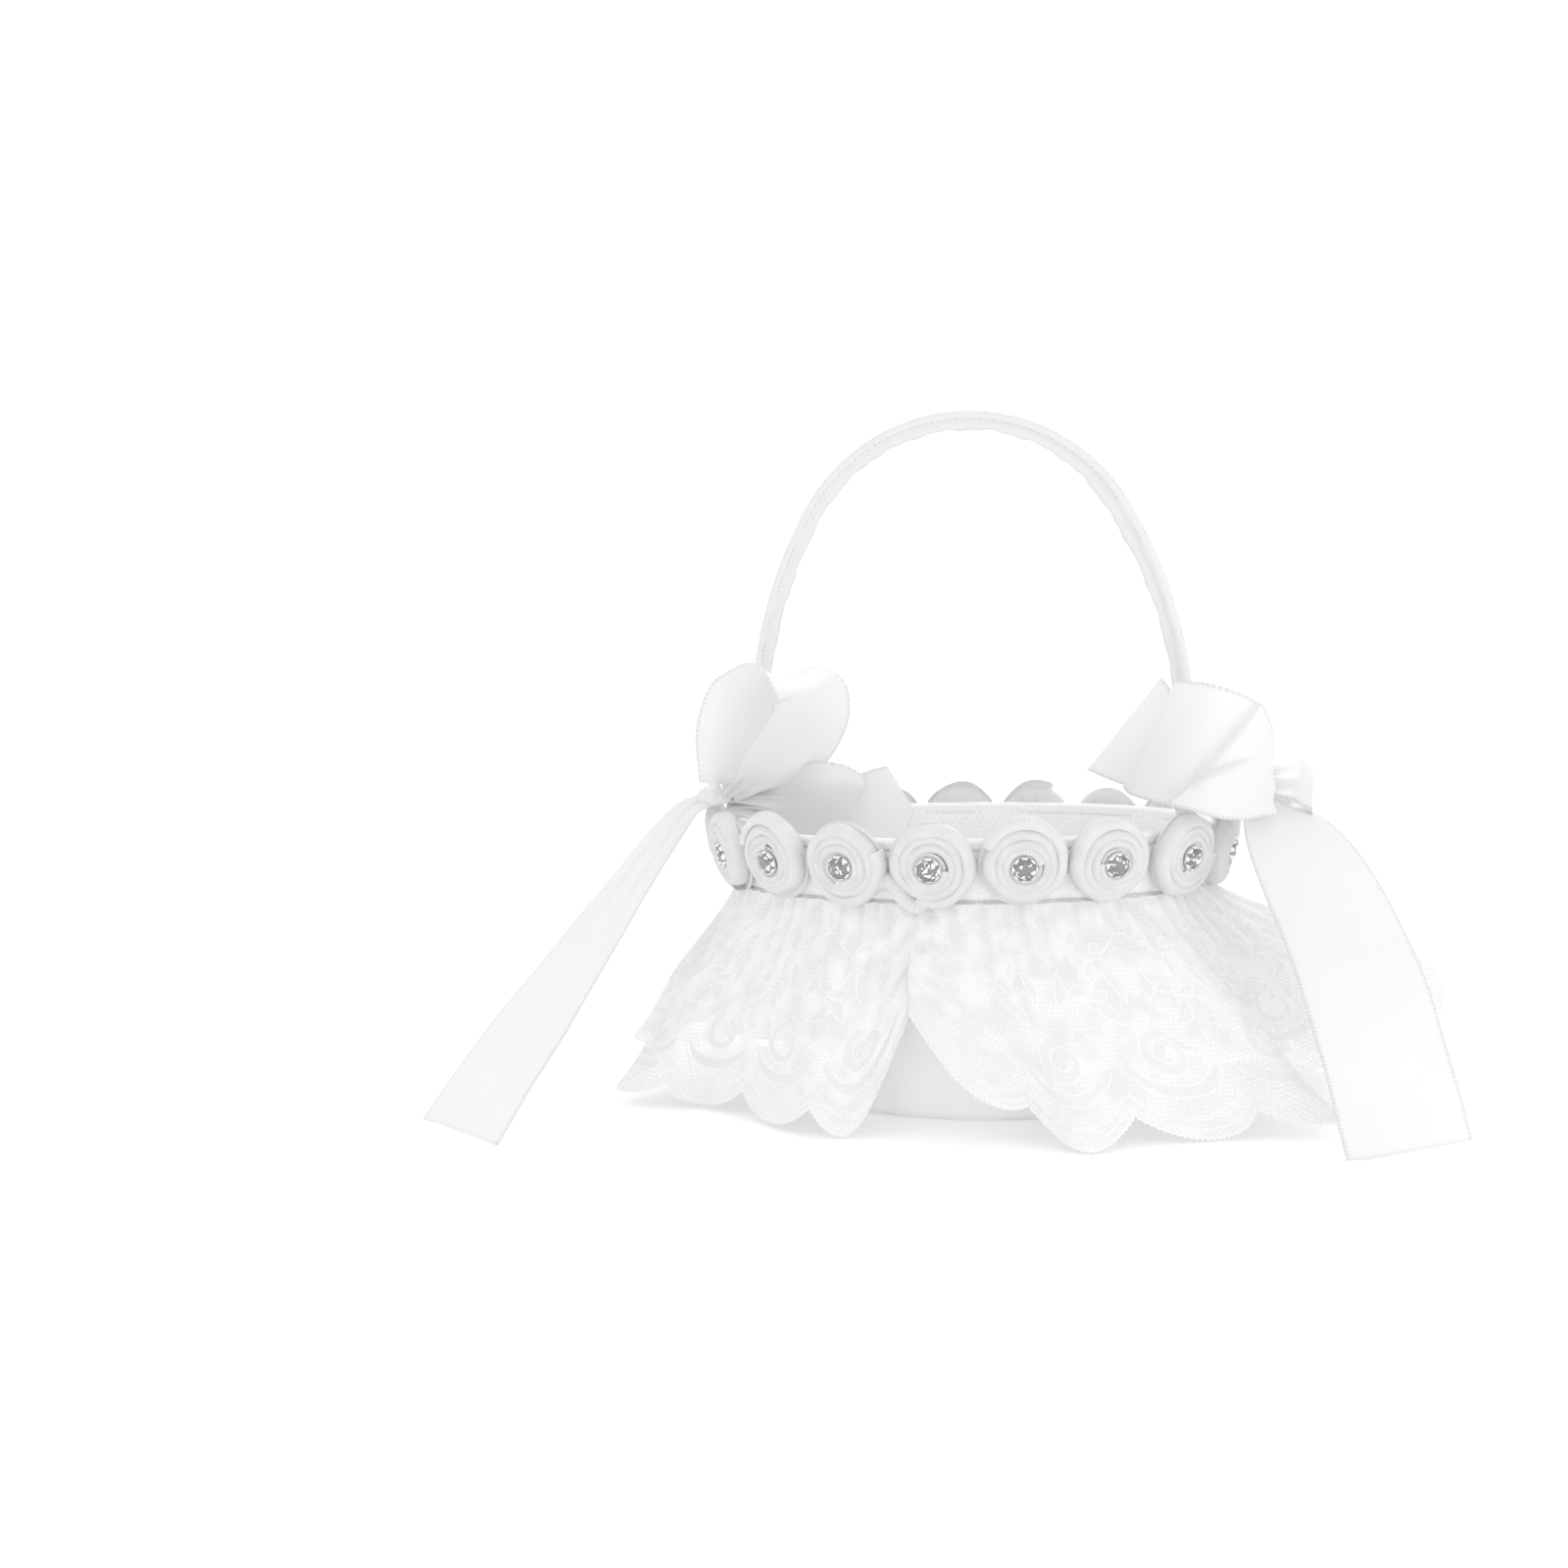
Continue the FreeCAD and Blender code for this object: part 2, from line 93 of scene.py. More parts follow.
def turns(count):
    """Even angles once round, the last one on the first."""
    return np.linspace(0.0, 2.0 * pi, count)


def length_along(points):
    """Distance along a row of points, starting at 0."""
    steps = np.linalg.norm(np.diff(points, axis=0), axis=1)
    return np.concatenate([[0.0], np.cumsum(steps)])


def cloth_uv(rows, columns):
    """The flat place of each point of a grid: how far along its row, how far down its column."""
    return joined(columns, np.asarray(rows)[:, None])


def add_object(name, data):
    obj = bpy.data.objects.new(name, data)
    bpy.context.collection.objects.link(obj)
    return obj


def patches(name, grids):
    """One mesh of quads through grids of points, each with the flat places of its points.

    Places where grids or their edges meet are welded."""
    points, quads, flat = [], [], []
    start = 0
    for grid, uv in grids:
        rows, columns = grid.shape[:2]
        index = np.arange(rows * columns).reshape(rows, columns) + start
        corners = [index[:-1, :-1], index[:-1, 1:], index[1:, 1:], index[1:, :-1]]
        quads.append(np.stack(corners, axis=-1).reshape(-1, 4))
        points.append(grid.reshape(-1, 3))
        flat.append(uv.reshape(-1, 2))
        start += rows * columns
    mesh = bpy.data.meshes.new(name)
    mesh.from_pydata((np.concatenate(points) * MM).tolist(), [], np.concatenate(quads).tolist())
    corner_points = np.zeros(len(mesh.loops), np.int32)
    mesh.loops.foreach_get("vertex_index", corner_points)
    layer = mesh.uv_layers.new(name="cloth")
    layer.data.foreach_set("uv", np.concatenate(flat)[corner_points].astype(np.float32).ravel())
    work = bmesh.new()
    work.from_mesh(mesh)
    bmesh.ops.remove_doubles(work, verts=work.verts, dist=1e-6)
    bmesh.ops.dissolve_degenerate(work, edges=work.edges, dist=1e-7)
    work.to_mesh(mesh)
    work.free()
    mesh.shade_smooth()
    return add_object(name, mesh)


def thicken(obj, thickness):
    """Gives a single layer of cloth its thickness, half to each side."""
    solidify = obj.modifiers.new("thickness", "SOLIDIFY")
    solidify.thickness = thickness * MM
    solidify.offset = 0.0
    return obj


def finish(obj, material, slot, *nodes, body="pail"):
    obj.data.materials.append(material)
    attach(obj, body)
    if nodes:
        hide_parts(*nodes)
    return obj


def ripple(*phases):
    """A soft, uneven wave between -1 and 1, the same on every run."""
    return sum(sin(phase) for phase in phases) / len(phases)


# ---- the pail's tapered wall

FOOT_LEVEL = box("satin_foot")[1][2]
FOOT_HALF = box("satin_foot")[1][:2]
RIM_LEVEL = box("satin_cover")[1][2]
RIM_HALF = box("satin_cover")[1][:2]
ROUND = 289  # points round the pail


def wall(angle, level, offset=0.0):
    """A point of the covered wall at an angle and a height, grown outwards by offset."""
    share = (level - FOOT_LEVEL) / (RIM_LEVEL - FOOT_LEVEL)
    half_length = FOOT_HALF[0] + (RIM_HALF[0] - FOOT_HALF[0]) * share + offset
    half_width = FOOT_HALF[1] + (RIM_HALF[1] - FOOT_HALF[1]) * share + offset
    return joined(half_length * cos(angle), half_width * sin(angle), level)


def around_wall(name, levels, offsets, wave, closed=True):
    """A ring whose section runs through (level, offset) points, and back to the first if closed."""
    if closed:
        levels = np.append(levels, levels[0])
        offsets = np.append(offsets, offsets[0])
    angle = turns(ROUND)
    level = levels[:, None]
    grid = wall(angle, level, offsets[:, None] + wave(angle, level))
    down = length_along(joined(levels, offsets))
    along = length_along(wall(angle, levels.mean()))
    return patches(name, [(grid, cloth_uv(down, along))])


def across_wall(name, shares, levels, offset, wave):
    """A disc that fills the wall: its section runs through (share of the radius, level) points."""
    angle = turns(ROUND)
    share = np.array(shares)[:, None]
    level = np.array(levels)[:, None]
    rim = wall(angle, level, offset)
    grid = joined(rim[..., 0] * share, rim[..., 1] * share, level + wave(angle, share))
    return patches(name, [(grid, grid[..., :2])])


# ---- materials

RIBBON_WIDTH = 38.0
SELVEDGE = 1.1  # width of a ribbon's woven edge
STITCH_PITCH = 1.25  # of the stitches along a selvedge
SEAM_PITCH = 1.6  # of the stitches along the handle's seams


def grey(level, blue=0.005):
    """A neutral colour with a touch more blue."""
    return level, level, level + blue


def scaled(colour, share):
    return tuple(part * share for part in colour)


class Shader:
    """A material with one Principled surface and short calls for the nodes that feed it."""

    def __init__(self, name, colour, roughness, **sockets):
        self.material = bpy.data.materials.new(name)
        self.material.use_nodes = True
        self.tree = self.material.node_tree
        self.surface = self.tree.nodes["Principled BSDF"]
        self.surface.inputs["Base Color"].default_value = (*colour, 1.0)
        self.surface.inputs["Roughness"].default_value = roughness
        for socket, value in sockets.items():
            self.surface.inputs[socket.replace("_", " ")].default_value = value
        self.relief = None

    def put(self, socket, value):
        if isinstance(value, bpy.types.NodeSocket):
            self.tree.links.new(value, socket)
        else:
            socket.default_value = value

    def node(self, kind, inputs, **settings):
        """The outputs of a new node, from its settings and its inputs by name or number."""
        node = self.tree.nodes.new(f"ShaderNode{kind}")
        for name, value in settings.items():
            setattr(node, name, value)
        for name, value in inputs.items():
            self.put(node.inputs[name], value)
        return node.outputs

    def math(self, operation, *values, clamp=False):
        return self.node("Math", dict(enumerate(values)), operation=operation, use_clamp=clamp)[0]

    def flat_place(self):
        """The place on the flat cloth, along and down, in millimetres."""
        return self.node("SeparateXYZ", {0: self.node("UVMap", {}, uv_map="cloth")[0]})[:2]

    def place(self):
        """The place on the object itself, in metres."""
        return self.node("TexCoord", {})["Object"]

    def joined(self, x, y):
        return self.node("CombineXYZ", {0: x, 1: y})[0]

    def noise(self, place, scale, detail=2.0):
        return self.node("TexNoise", {"Vector": place, "Scale": scale, "Detail": detail})["Fac"]

    def between(self, share, low, high):
        """A number between low and high by share."""
        return self.node("MapRange", {"Value": share, "To Min": low, "To Max": high})["Result"]

    def tint(self, share, low, high):
        """Colours the surface between low and high by share."""
        inputs = {"Factor": share, "A": (*low, 1.0), "B": (*high, 1.0)}
        mixed = self.node("Mix", inputs, data_type="RGBA")["Result"]
        self.put(self.surface.inputs["Base Color"], mixed)

    def rough(self, share, low, high):
        self.put(self.surface.inputs["Roughness"], self.between(share, low, high))

    def bump(self, height, depth):
        """Raises the surface by depth millimetres where height is 1."""
        inputs = {"Distance": depth * MM, "Height": height}
        if self.relief is not None:
            inputs["Normal"] = self.relief
        self.relief = self.node("Bump", inputs)["Normal"]
        self.put(self.surface.inputs["Normal"], self.relief)

    def see_through(self, alpha):
        self.put(self.surface.inputs["Alpha"], alpha)

    def let_light_through(self, share, colour):
        """Thin cloth: a share of the light that falls on one side leaves from the other."""
        thin = self.node("BsdfTranslucent", {"Color": (*colour, 1.0)})[0]
        mixed = self.node("MixShader", {0: share, 1: self.surface.outputs[0], 2: thin})[0]
        self.put(self.tree.nodes["Material Output"].inputs["Surface"], mixed)

    def cells(self, size):
        """A random number for each small cell of about this size in millimetres."""
        inputs = {"Vector": self.place(), "Scale": 1.0 / (size * MM)}
        return self.node("SeparateColor", {0: self.node("TexVoronoi", inputs)["Color"]})[0]

    def stripes(self, place, pitch):
        """A wave of 0 to 1 with one crest per pitch."""
        wave = self.math("SINE", self.math("MULTIPLY", place, 2.0 * pi / pitch))
        return self.math("MULTIPLY_ADD", wave, 0.5, 0.5)

    def hexagons(self, along, down, cell, thread):
        """1 on the threads of a net of hexagonal cells and 0 in its holes, with soft edges."""
        row = sqrt(3.0)
        x = self.math("DIVIDE", along, cell)
        y = self.math("DIVIDE", down, cell * row)
        nearest = None
        for shift in (0.0, 0.5):
            parts = []
            for value, scale in ((x, 1.0), (y, row)):
                cycle = self.math("FRACT", self.math("ADD", value, shift))
                off = self.math("ABSOLUTE", self.math("SUBTRACT", cycle, 0.5))
                parts.append(self.math("MULTIPLY", off, scale))
            slant = self.math("MULTIPLY_ADD", parts[1], row / 2.0, self.math("MULTIPLY", parts[0], 0.5))
            reach = self.math("MAXIMUM", parts[0], slant)
            nearest = reach if nearest is None else self.math("MINIMUM", nearest, reach)
        edge = self.math("SUBTRACT", nearest, 0.5 - thread / cell)
        return self.math("MULTIPLY", edge, 3.0 * cell / thread, clamp=True)


def satin(name, colour, roughness=0.3, edges=None, thin=0.0):
    """Close-woven satin with long floating threads; edges is half its width if it has selvedges."""
    look = Shader(name, colour, roughness, Sheen_Weight=0.2, Specular_IOR_Level=0.55, Anisotropic=0.45)
    along, down = look.flat_place()
    drawn = look.joined(look.math("MULTIPLY", along, 0.25), look.math("MULTIPLY", down, 3.5))
    threads = look.noise(drawn, 1.0, 3.0)
    twill = look.stripes(look.math("ADD", along, down), 0.9)
    mottle = look.noise(look.place(), 60.0, 3.0)
    shade = look.math("MULTIPLY_ADD", threads, 0.5, look.math("MULTIPLY", mottle, 0.5))
    look.rough(threads, roughness - 0.08, roughness + 0.12)
    look.bump(threads, 0.05)
    look.bump(twill, 0.02)
    light, dark = scaled(colour, 1.04), scaled(colour, 0.93)
    if edges is not None:
        rim = look.math("GREATER_THAN", look.math("ABSOLUTE", down), edges - SELVEDGE)
        ticks = look.math("MULTIPLY", look.stripes(along, STITCH_PITCH), rim)
        look.bump(ticks, 0.12)
        # The ticks are painted darker as well as raised: painted shade of the selvedge's small ridges.
        tick_painted_shade = look.math("MULTIPLY", ticks, 0.75)
        shade = look.math("SUBTRACT", look.between(shade, 0.72, 1.0), tick_painted_shade, clamp=True)
        dark = scaled(colour, 0.6)
    look.tint(shade, dark, light)
    if thin:
        look.let_light_through(thin, colour)
    return look.material


def netting(name, cell, thread, ground, colour):
    """White net laid on cloth of the ground colour."""
    look = Shader(name, colour, 0.6, Sheen_Weight=0.3)
    along, down = look.flat_place()
    net = look.hexagons(along, down, cell, thread)
    fuzz = look.noise(look.place(), 900.0)
    look.tint(net, ground, colour)
    look.rough(fuzz, 0.5, 0.75)
    look.bump(net, 0.22)
    look.bump(fuzz, 0.04)
    return look.material


def lace_net(name, cell, thread):
    """The lace's ground: threads round hexagonal holes, woven over more closely in soft clouds."""
    look = Shader(name, grey(0.82), 0.65, Sheen_Weight=0.3)
    along, down = look.flat_place()
    net = look.hexagons(along, down, cell, thread)
    cloud = look.noise(look.joined(along, down), 0.11, 1.5)
    weave = look.math("MULTIPLY", look.stripes(along, 0.62), look.stripes(down, 0.62))
    open_share = look.between(cloud, -0.6, 0.8)
    cover = look.math("SUBTRACT", look.between(weave, 0.95, 0.75), open_share, clamp=True)
    look.see_through(look.math("MAXIMUM", look.between(net, 0.66, 1.0), cover))
    look.tint(look.noise(look.place(), 120.0), grey(0.77), grey(0.83))
    look.rough(weave, 0.55, 0.75)
    look.bump(net, 0.15)
    return look.material


def lace_thread(name, opacity):
    """The lace's corded outlines, and its close-woven petals at a lower opacity."""
    look = Shader(name, grey(0.88, 0.0), 0.6, Sheen_Weight=0.3)
    along, down = look.flat_place()
    twist = look.stripes(look.math("MULTIPLY_ADD", down, 1.5, along), 0.7)
    if opacity < 1.0:
        look.see_through(look.between(twist, opacity, 1.0))
    # The twist's grooves are painted darker than its crests: painted shade, beside the bump.
    look.tint(twist, grey(0.74), grey(0.84, 0.0))
    look.rough(twist, 0.5, 0.7)
    look.bump(twist, 0.05)
    return look.material


def painted_shade_seam(name):
    """Stitching painted dark grey, darker than the satin beside it: painted shade of the seam's groove
    and stitch holes.
    """
    look = Shader(name, grey(0.4, 0.01), 0.7)
    stitch = look.stripes(look.flat_place()[0], SEAM_PITCH)
    # Darkest between the stitches, where the holes are: painted shade.
    look.tint(stitch, grey(0.2, 0.01), grey(0.62, 0.01))
    look.rough(stitch, 0.6, 0.8)
    return look.material


def chiffon(name):
    """Sheer crinkled chiffon: fine ribs across the strip, which lets light through. The ribs and folds
    are painted darker as well as raised: painted shade in the crinkles.
    """
    look = Shader(name, grey(0.74), 0.6, Sheen_Weight=0.3)
    along, down = look.flat_place()
    ribs = look.stripes(along, 0.95)
    fold = look.noise(look.joined(along, look.math("MULTIPLY", down, 0.3)), 0.6)
    patchy = look.noise(look.joined(along, down), 0.16)
    crimp = look.math("MULTIPLY", ribs, look.between(patchy, -0.7, 1.7), clamp=True)
    shade = look.math("MULTIPLY", crimp, look.between(fold, 0.4, 1.0))
    # Painted shade: darker where the ribs and folds are strongest.
    look.tint(look.math("SUBTRACT", 1.0, shade), grey(0.58, 0.01), grey(0.82))
    look.rough(fold, 0.5, 0.7)
    look.bump(crimp, 0.13)
    look.bump(fold, 0.2)
    look.let_light_through(0.4, (0.9, 0.9, 0.9))
    return look.material


def metal(name, colour, roughness, scratch):
    look = Shader(name, colour, roughness, Metallic=1.0)
    wear = look.noise(look.place(), scratch, 4.0)
    look.tint(wear, scaled(colour, 0.82), colour)
    look.rough(wear, roughness * 0.7, roughness * 1.5)
    look.bump(wear, 0.02)
    return look.material


def painted(name, colour, roughness, grain):
    look = Shader(name, colour, roughness)
    speck = look.noise(look.place(), grain, 3.0)
    look.tint(speck, scaled(colour, 0.92), colour)
    look.rough(speck, roughness, roughness + 0.15)
    look.bump(speck, 0.04)
    return look.material


def cut_stone(name):
    """A foiled stone: its facets are painted light or dark at random by the attribute on each face, as
    painted reflections, with painted glints in small cells.
    """
    look = Shader(name, grey(0.6, 0.02), 0.06, Metallic=0.95, Coat_Weight=0.4, Coat_Roughness=0.03)
    painted_facet_reflection = look.node("Attribute", {}, attribute_name="painted_facet_reflection")["Fac"]
    haze = look.noise(look.place(), 2500.0)
    # Painted glints: small cells turn white where the painted reflection is already bright.
    glints = look.math("GREATER_THAN", look.math("MULTIPLY_ADD", painted_facet_reflection, 0.35, look.cells(0.75)), 1.0)
    share = look.math("MULTIPLY_ADD", haze, 0.25, glints, clamp=True)
    look.tint(share, grey(0.006, 0.003), grey(0.93, 0.02))
    look.rough(haze, 0.03, 0.12)
    return look.material


SATIN = satin("satin", grey(0.9))
RIBBON = satin("ribbon_satin", grey(0.88), 0.3, edges=RIBBON_WIDTH / 2.0, thin=0.45)
LINING_NET = netting("lining_net", 1.8, 0.24, grey(0.76, 0.01), grey(0.94))
TAPE_NET = netting("tape_net", 1.6, 0.24, grey(0.8, 0.01), grey(0.92))
LACE_NET = lace_net("lace_net", 1.7, 0.17)
LACE_CORD = lace_thread("lace_cord", 1.0)
LACE_PETAL = lace_thread("lace_petal", 0.55)
CHIFFON = chiffon("chiffon")
PLATED = metal("plated_cup", grey(0.93, 0.01), 0.3, 900.0)
STEEL = metal("pin_steel", grey(0.6, 0.02), 0.3, 700.0)
BOARD = painted("pail_board", (0.78, 0.77, 0.75), 0.75, 500.0)
ENAMEL = painted("wire_enamel", grey(0.85, 0.0), 0.35, 900.0)
STONE = cut_stone("cut_stone")
SLEEVE_SATIN = satin("sleeve_satin", grey(0.64), 0.36)
PAINTED_SHADE_SEAM = painted_shade_seam("sleeve_seam")


# ---- coverings and lining of the pail

SATIN_THICK = 0.8
WALL_INSIDE = -SATIN_THICK - 2.2
LINING_INSIDE = WALL_INSIDE - 0.8
BINDING_THICK = 0.2


def build_cover():
    """Satin drawn round the board: nearly smooth, with soft upright tension folds near the foot."""
    levels = np.append(np.linspace(FOOT_LEVEL, RIM_LEVEL, 26), np.linspace(RIM_LEVEL, FOOT_LEVEL, 4))
    offsets = np.repeat([0.0, -SATIN_THICK * 0.9], [26, 4])

    def folds(angle, level):
        low = 1.0 - ease((level - FOOT_LEVEL) / 55.0)
        return 0.35 * low * ripple(angle * 17.0, angle * 29.0 + 1.3, angle * 41.0 + level * 0.05)

    cover = around_wall("satin_cover_cloth", levels, offsets, folds)
    finish(cover, SATIN, "satin_cover", "satin_cover")


def build_foot():
    """The turned-under satin below: small gathers run in from the edge to a smooth middle."""
    shares = [0.0, 0.25, 0.5, 0.7, 0.82, 0.9, 0.96, 1.0, 1.0, 0.9, 0.5, 0.0]
    levels = [0.35, 0.35, 0.3, 0.25, 0.15, 0.05, 0.1, 0.35, 0.7, 0.78, 0.78, 0.78]

    def gathers(angle, share):
        near_edge = ease((share - 0.6) / 0.3) * ease((1.0 - share) / 0.05)
        return 0.1 + 0.1 * near_edge * sin(angle * 48.0 + 2.0 * sin(angle * 5.0))

    foot = across_wall("satin_foot_cloth", shares, levels, 0.0, gathers)
    finish(foot, SATIN, "satin_cover", "satin_foot")


def build_lining():
    low = box("net_lining")[0][2] + 0.1
    levels = np.append(np.linspace(low, RIM_LEVEL, 20), np.linspace(RIM_LEVEL, low, 3))
    offsets = np.repeat([LINING_INSIDE, WALL_INSIDE - 0.05], [20, 3])

    def slack(angle, level):
        uneven = ripple(angle * 9.0 + level * 0.08, angle * 15.0 - level * 0.11, angle * 4.0)
        return -0.18 * (1.0 + uneven)

    lining = around_wall("net_lining_cloth", levels, offsets, slack)
    finish(lining, LINING_NET, "net_lining", "net_lining")


def build_floor_pad():
    """A satin-covered card: crowned, with a rounded edge and a few soft creases."""
    low, high = (corner[2] for corner in box("floor_pad"))
    shares = [0.0, 0.2, 0.4, 0.6, 0.75, 0.86, 0.93, 0.975, 1.0, 1.0, 0.97, 0.9, 0.5, 0.0]
    rises = [1.0, 1.0, 0.99, 0.96, 0.92, 0.86, 0.76, 0.6, 0.42, 0.22, 0.06, 0.0, 0.0, 0.0]
    levels = [low + 0.1 + rise * (high - low + 0.5) for rise in rises]

    def creases(angle, share):
        top = ease((1.0 - share) / 0.2)
        return 0.25 * top * ripple(angle * 3.0 + share * 9.0, angle * 7.0 - share * 5.0, share * 16.0)

    pad = across_wall("floor_pad_cloth", shares, levels, LINING_INSIDE - 0.9, creases)
    finish(pad, SATIN, "satin_pad", "floor_pad")


def build_binding():
    """The lining's net folded over the rim, with small puckers at each stitch."""
    outer, inner = 0.3, LINING_INSIDE - 0.1
    fall, top = (corner[2] for corner in box("rim_binding"))
    middle, half = (outer + inner) / 2.0, (outer - inner) / 2.0
    bend = np.linspace(0.0, pi, 11)
    arch = RIM_LEVEL - 0.5 + (top - RIM_LEVEL + 0.5) * sin(bend)
    levels = np.concatenate([[fall, fall + 0.5], arch, [fall + 0.5, fall]])
    across = middle + (half + 0.1) * cos(bend)
    offsets = np.concatenate([[outer, outer + 0.1], across, [inner - 0.05, inner]])

    def puckers(angle, level):
        low = ease((RIM_LEVEL + 0.3 - level) / 2.0)
        return 0.08 * low * sin(angle * 150.0)

    binding = around_wall("rim_binding_cloth", levels, offsets, puckers, closed=False)
    finish(thicken(binding, BINDING_THICK), LINING_NET, "net_binding", "rim_binding")


def wall_band(name, node, material, slot, thickness):
    """A gathered strip sewn round the outside of the wall where its CAD node is."""
    low, high = (corner[2] for corner in box(node))
    rows = np.linspace(low + 0.1, high - 0.1, 8)
    levels = np.append(rows, [rows[-1], rows[0]])
    offsets = np.repeat([thickness, 0.1], [8, 2])

    def gathers(angle, level):
        inside = sin(pi * np.clip((level - low) / (high - low), 0.0, 1.0))
        return 0.12 * inside * sin(angle * 120.0 + 3.0 * sin(angle * 7.0))

    strip = around_wall(name, levels, offsets, gathers)
    return finish(strip, material, slot, node)


def build_tape():
    """The net tape that the rosettes are sewn to."""
    tape = wall_band("rosette_tape_cloth", "rosette_tape", TAPE_NET, "rosette_tape", 0.85)


# ---- lace

LACE_STEP = 17.0  # flat length from one point of the hem to the next; a scallop is two steps
LACE_DROP = 78.0  # from the sewn edge to the tip of a scallop
LACE_TOP = box("lace_heading")[1][2] - 0.8
NOTCH = 9.0  # how far a notch between two scallops is cut up into the hem
HEM_CORDS = ((0.35, 0.8), (3.2, 0.55), (6.4, 0.5), (7.4, 0.4))  # (how far above the edge, width)
RUNG_PITCH = 1.4  # between the short threads that join the two lowest cords
LACE_START = radians(-93.0)  # where its two ends part, at the front

# (x, y, z) of the hem's outer and inner folds, one for each step
HEM_RIGHT = [
    (-6, -68, 34), (12, -71, 17), (32, -71, 5), (48, -75, 1), (64, -64, 1), (82, -54, 1),
    (101, -49, 1), (119, -43, 6), (106, -28, 10), (112, -12, 14), (131, -6, 20), (148, 6, 28),
    (151, 18, 42), (136, 28, 26), (122, 38, 10), (124, 54, 2), (106, 50, 3), (98, 66, 1),
]
HEM_LEFT = [
    (-98, 56, 2), (-88, 42, 4), (-106, 34, 6), (-94, 20, 12), (-112, 12, 16), (-98, -2, 15),
    (-116, -10, 16), (-100, -22, 9), (-112, -38, 5), (-96, -46, 1), (-80, -44, 2), (-66, -52, 1),
    (-52, -62, 2), (-38, -73, 1), (-22, -70, 3), (-6, -66, 33),
]
LACE_GAP = 1.25  # how far the sewn edge stands off the wall
BACK_FLUTES = 13
BACK_HALF = (118.0, 78.0)
BACK_SHIFT = 6.0
BACK_INNER = 0.84  # share of BACK_HALF that the inner folds reach
BACK_FIRST, BACK_LAST = radians(44.0), radians(140.0)


def back_hem():
    """Even flutes round the back, between the listed right and left ones."""
    number = np.arange(BACK_FLUTES)
    angle = BACK_FIRST + (BACK_LAST - BACK_FIRST) * (number + 0.5) / BACK_FLUTES
    reach = np.where(number % 2, 1.0, BACK_INNER)
    hem = polar(reach, angle, 2.5 - 1.5 * reach) * [*BACK_HALF, 1.0] + [BACK_SHIFT, 0.0, 0.0]
    return hem.tolist()


HEM = HEM_RIGHT + back_hem() + HEM_LEFT
LACE_STEPS = len(HEM) - 1


def lace_edge(step):
    """The share of the drop that the scalloped cloth reaches at a place along the hem."""
    across_lobe = np.abs(np.mod(step, 2.0) - 1.0)
    return 1.0 - NOTCH / LACE_DROP * across_lobe ** 2


def lace_point(step, share):
    """Where the lace is: step along the hem, share of the drop below the sewn edge."""
    step, share = np.broadcast_arrays(step, share)
    angle = LACE_START + 2.0 * pi * step / LACE_STEPS
    top = wall(angle, LACE_TOP, LACE_GAP)
    hem = spline_at(HEM, step)
    grow = (0.12 * share + 0.88 * share ** 1.25)[..., None]
    point = top * (1.0 - grow) + hem * grow
    point[..., 2] = top[..., 2] * (1.0 - share) + hem[..., 2] * share
    outward = unit(point * np.array([1.0, 1.4, 0.0]))
    gather = 0.9 * (1.0 - share) ** 2 * sin(step * pi * 3.3 + 1.5 * sin(step * 2.1))
    belly = 4.0 * sin(pi * share) ** 2
    uneven = ripple(step * 5.1 + share * 6.0, step * 7.7 - share * 9.0, share * 14.0 + step * 1.7)
    crumple = 0.7 * sin(pi * share) * uneven
    return point + outward * (1.0 + gather + belly + crumple)[..., None]


def lace_uv(step, share):
    return joined(step * LACE_STEP, share * LACE_DROP)


def lace_normal(step, share):
    small = 0.02
    along = lace_point(step + small, share) - lace_point(step - small, share)
    down = lace_point(step, share + small) - lace_point(step, share - small)
    return unit(np.cross(down, along))


def lace_strands(strands, height):
    """Cords or petals lying on the lace, from (points, widths) pairs in flat millimetres.

    Strands with the same number of points are worked out together."""
    corners = [(-1.0, 0.0), (0.0, 1.0), (1.0, 0.0), (0.0, -1.0), (-1.0, 0.0)]
    grids = []
    for count in sorted({len(points) for points, _ in strands}):
        alike = [(points, widths) for points, widths in strands if len(points) == count]
        flat_points = np.array([points for points, _ in alike], float)
        widths = np.array([np.broadcast_to(widths, count) for _, widths in alike], float)
        direction = unit(np.gradient(flat_points, axis=1))
        sideways = joined(-direction[..., 1], direction[..., 0]) * widths[..., None] / 2.0
        flat = np.stack([flat_points + sideways * across for across, _ in corners], axis=1)
        rise = np.array([rise for _, rise in corners])[None, :, None, None] * height
        step = flat[..., 0] / LACE_STEP
        share = flat[..., 1] / LACE_DROP
        raised = lace_point(step, share) + lace_normal(step, share) * rise
        grids += list(zip(raised, flat))
    return grids


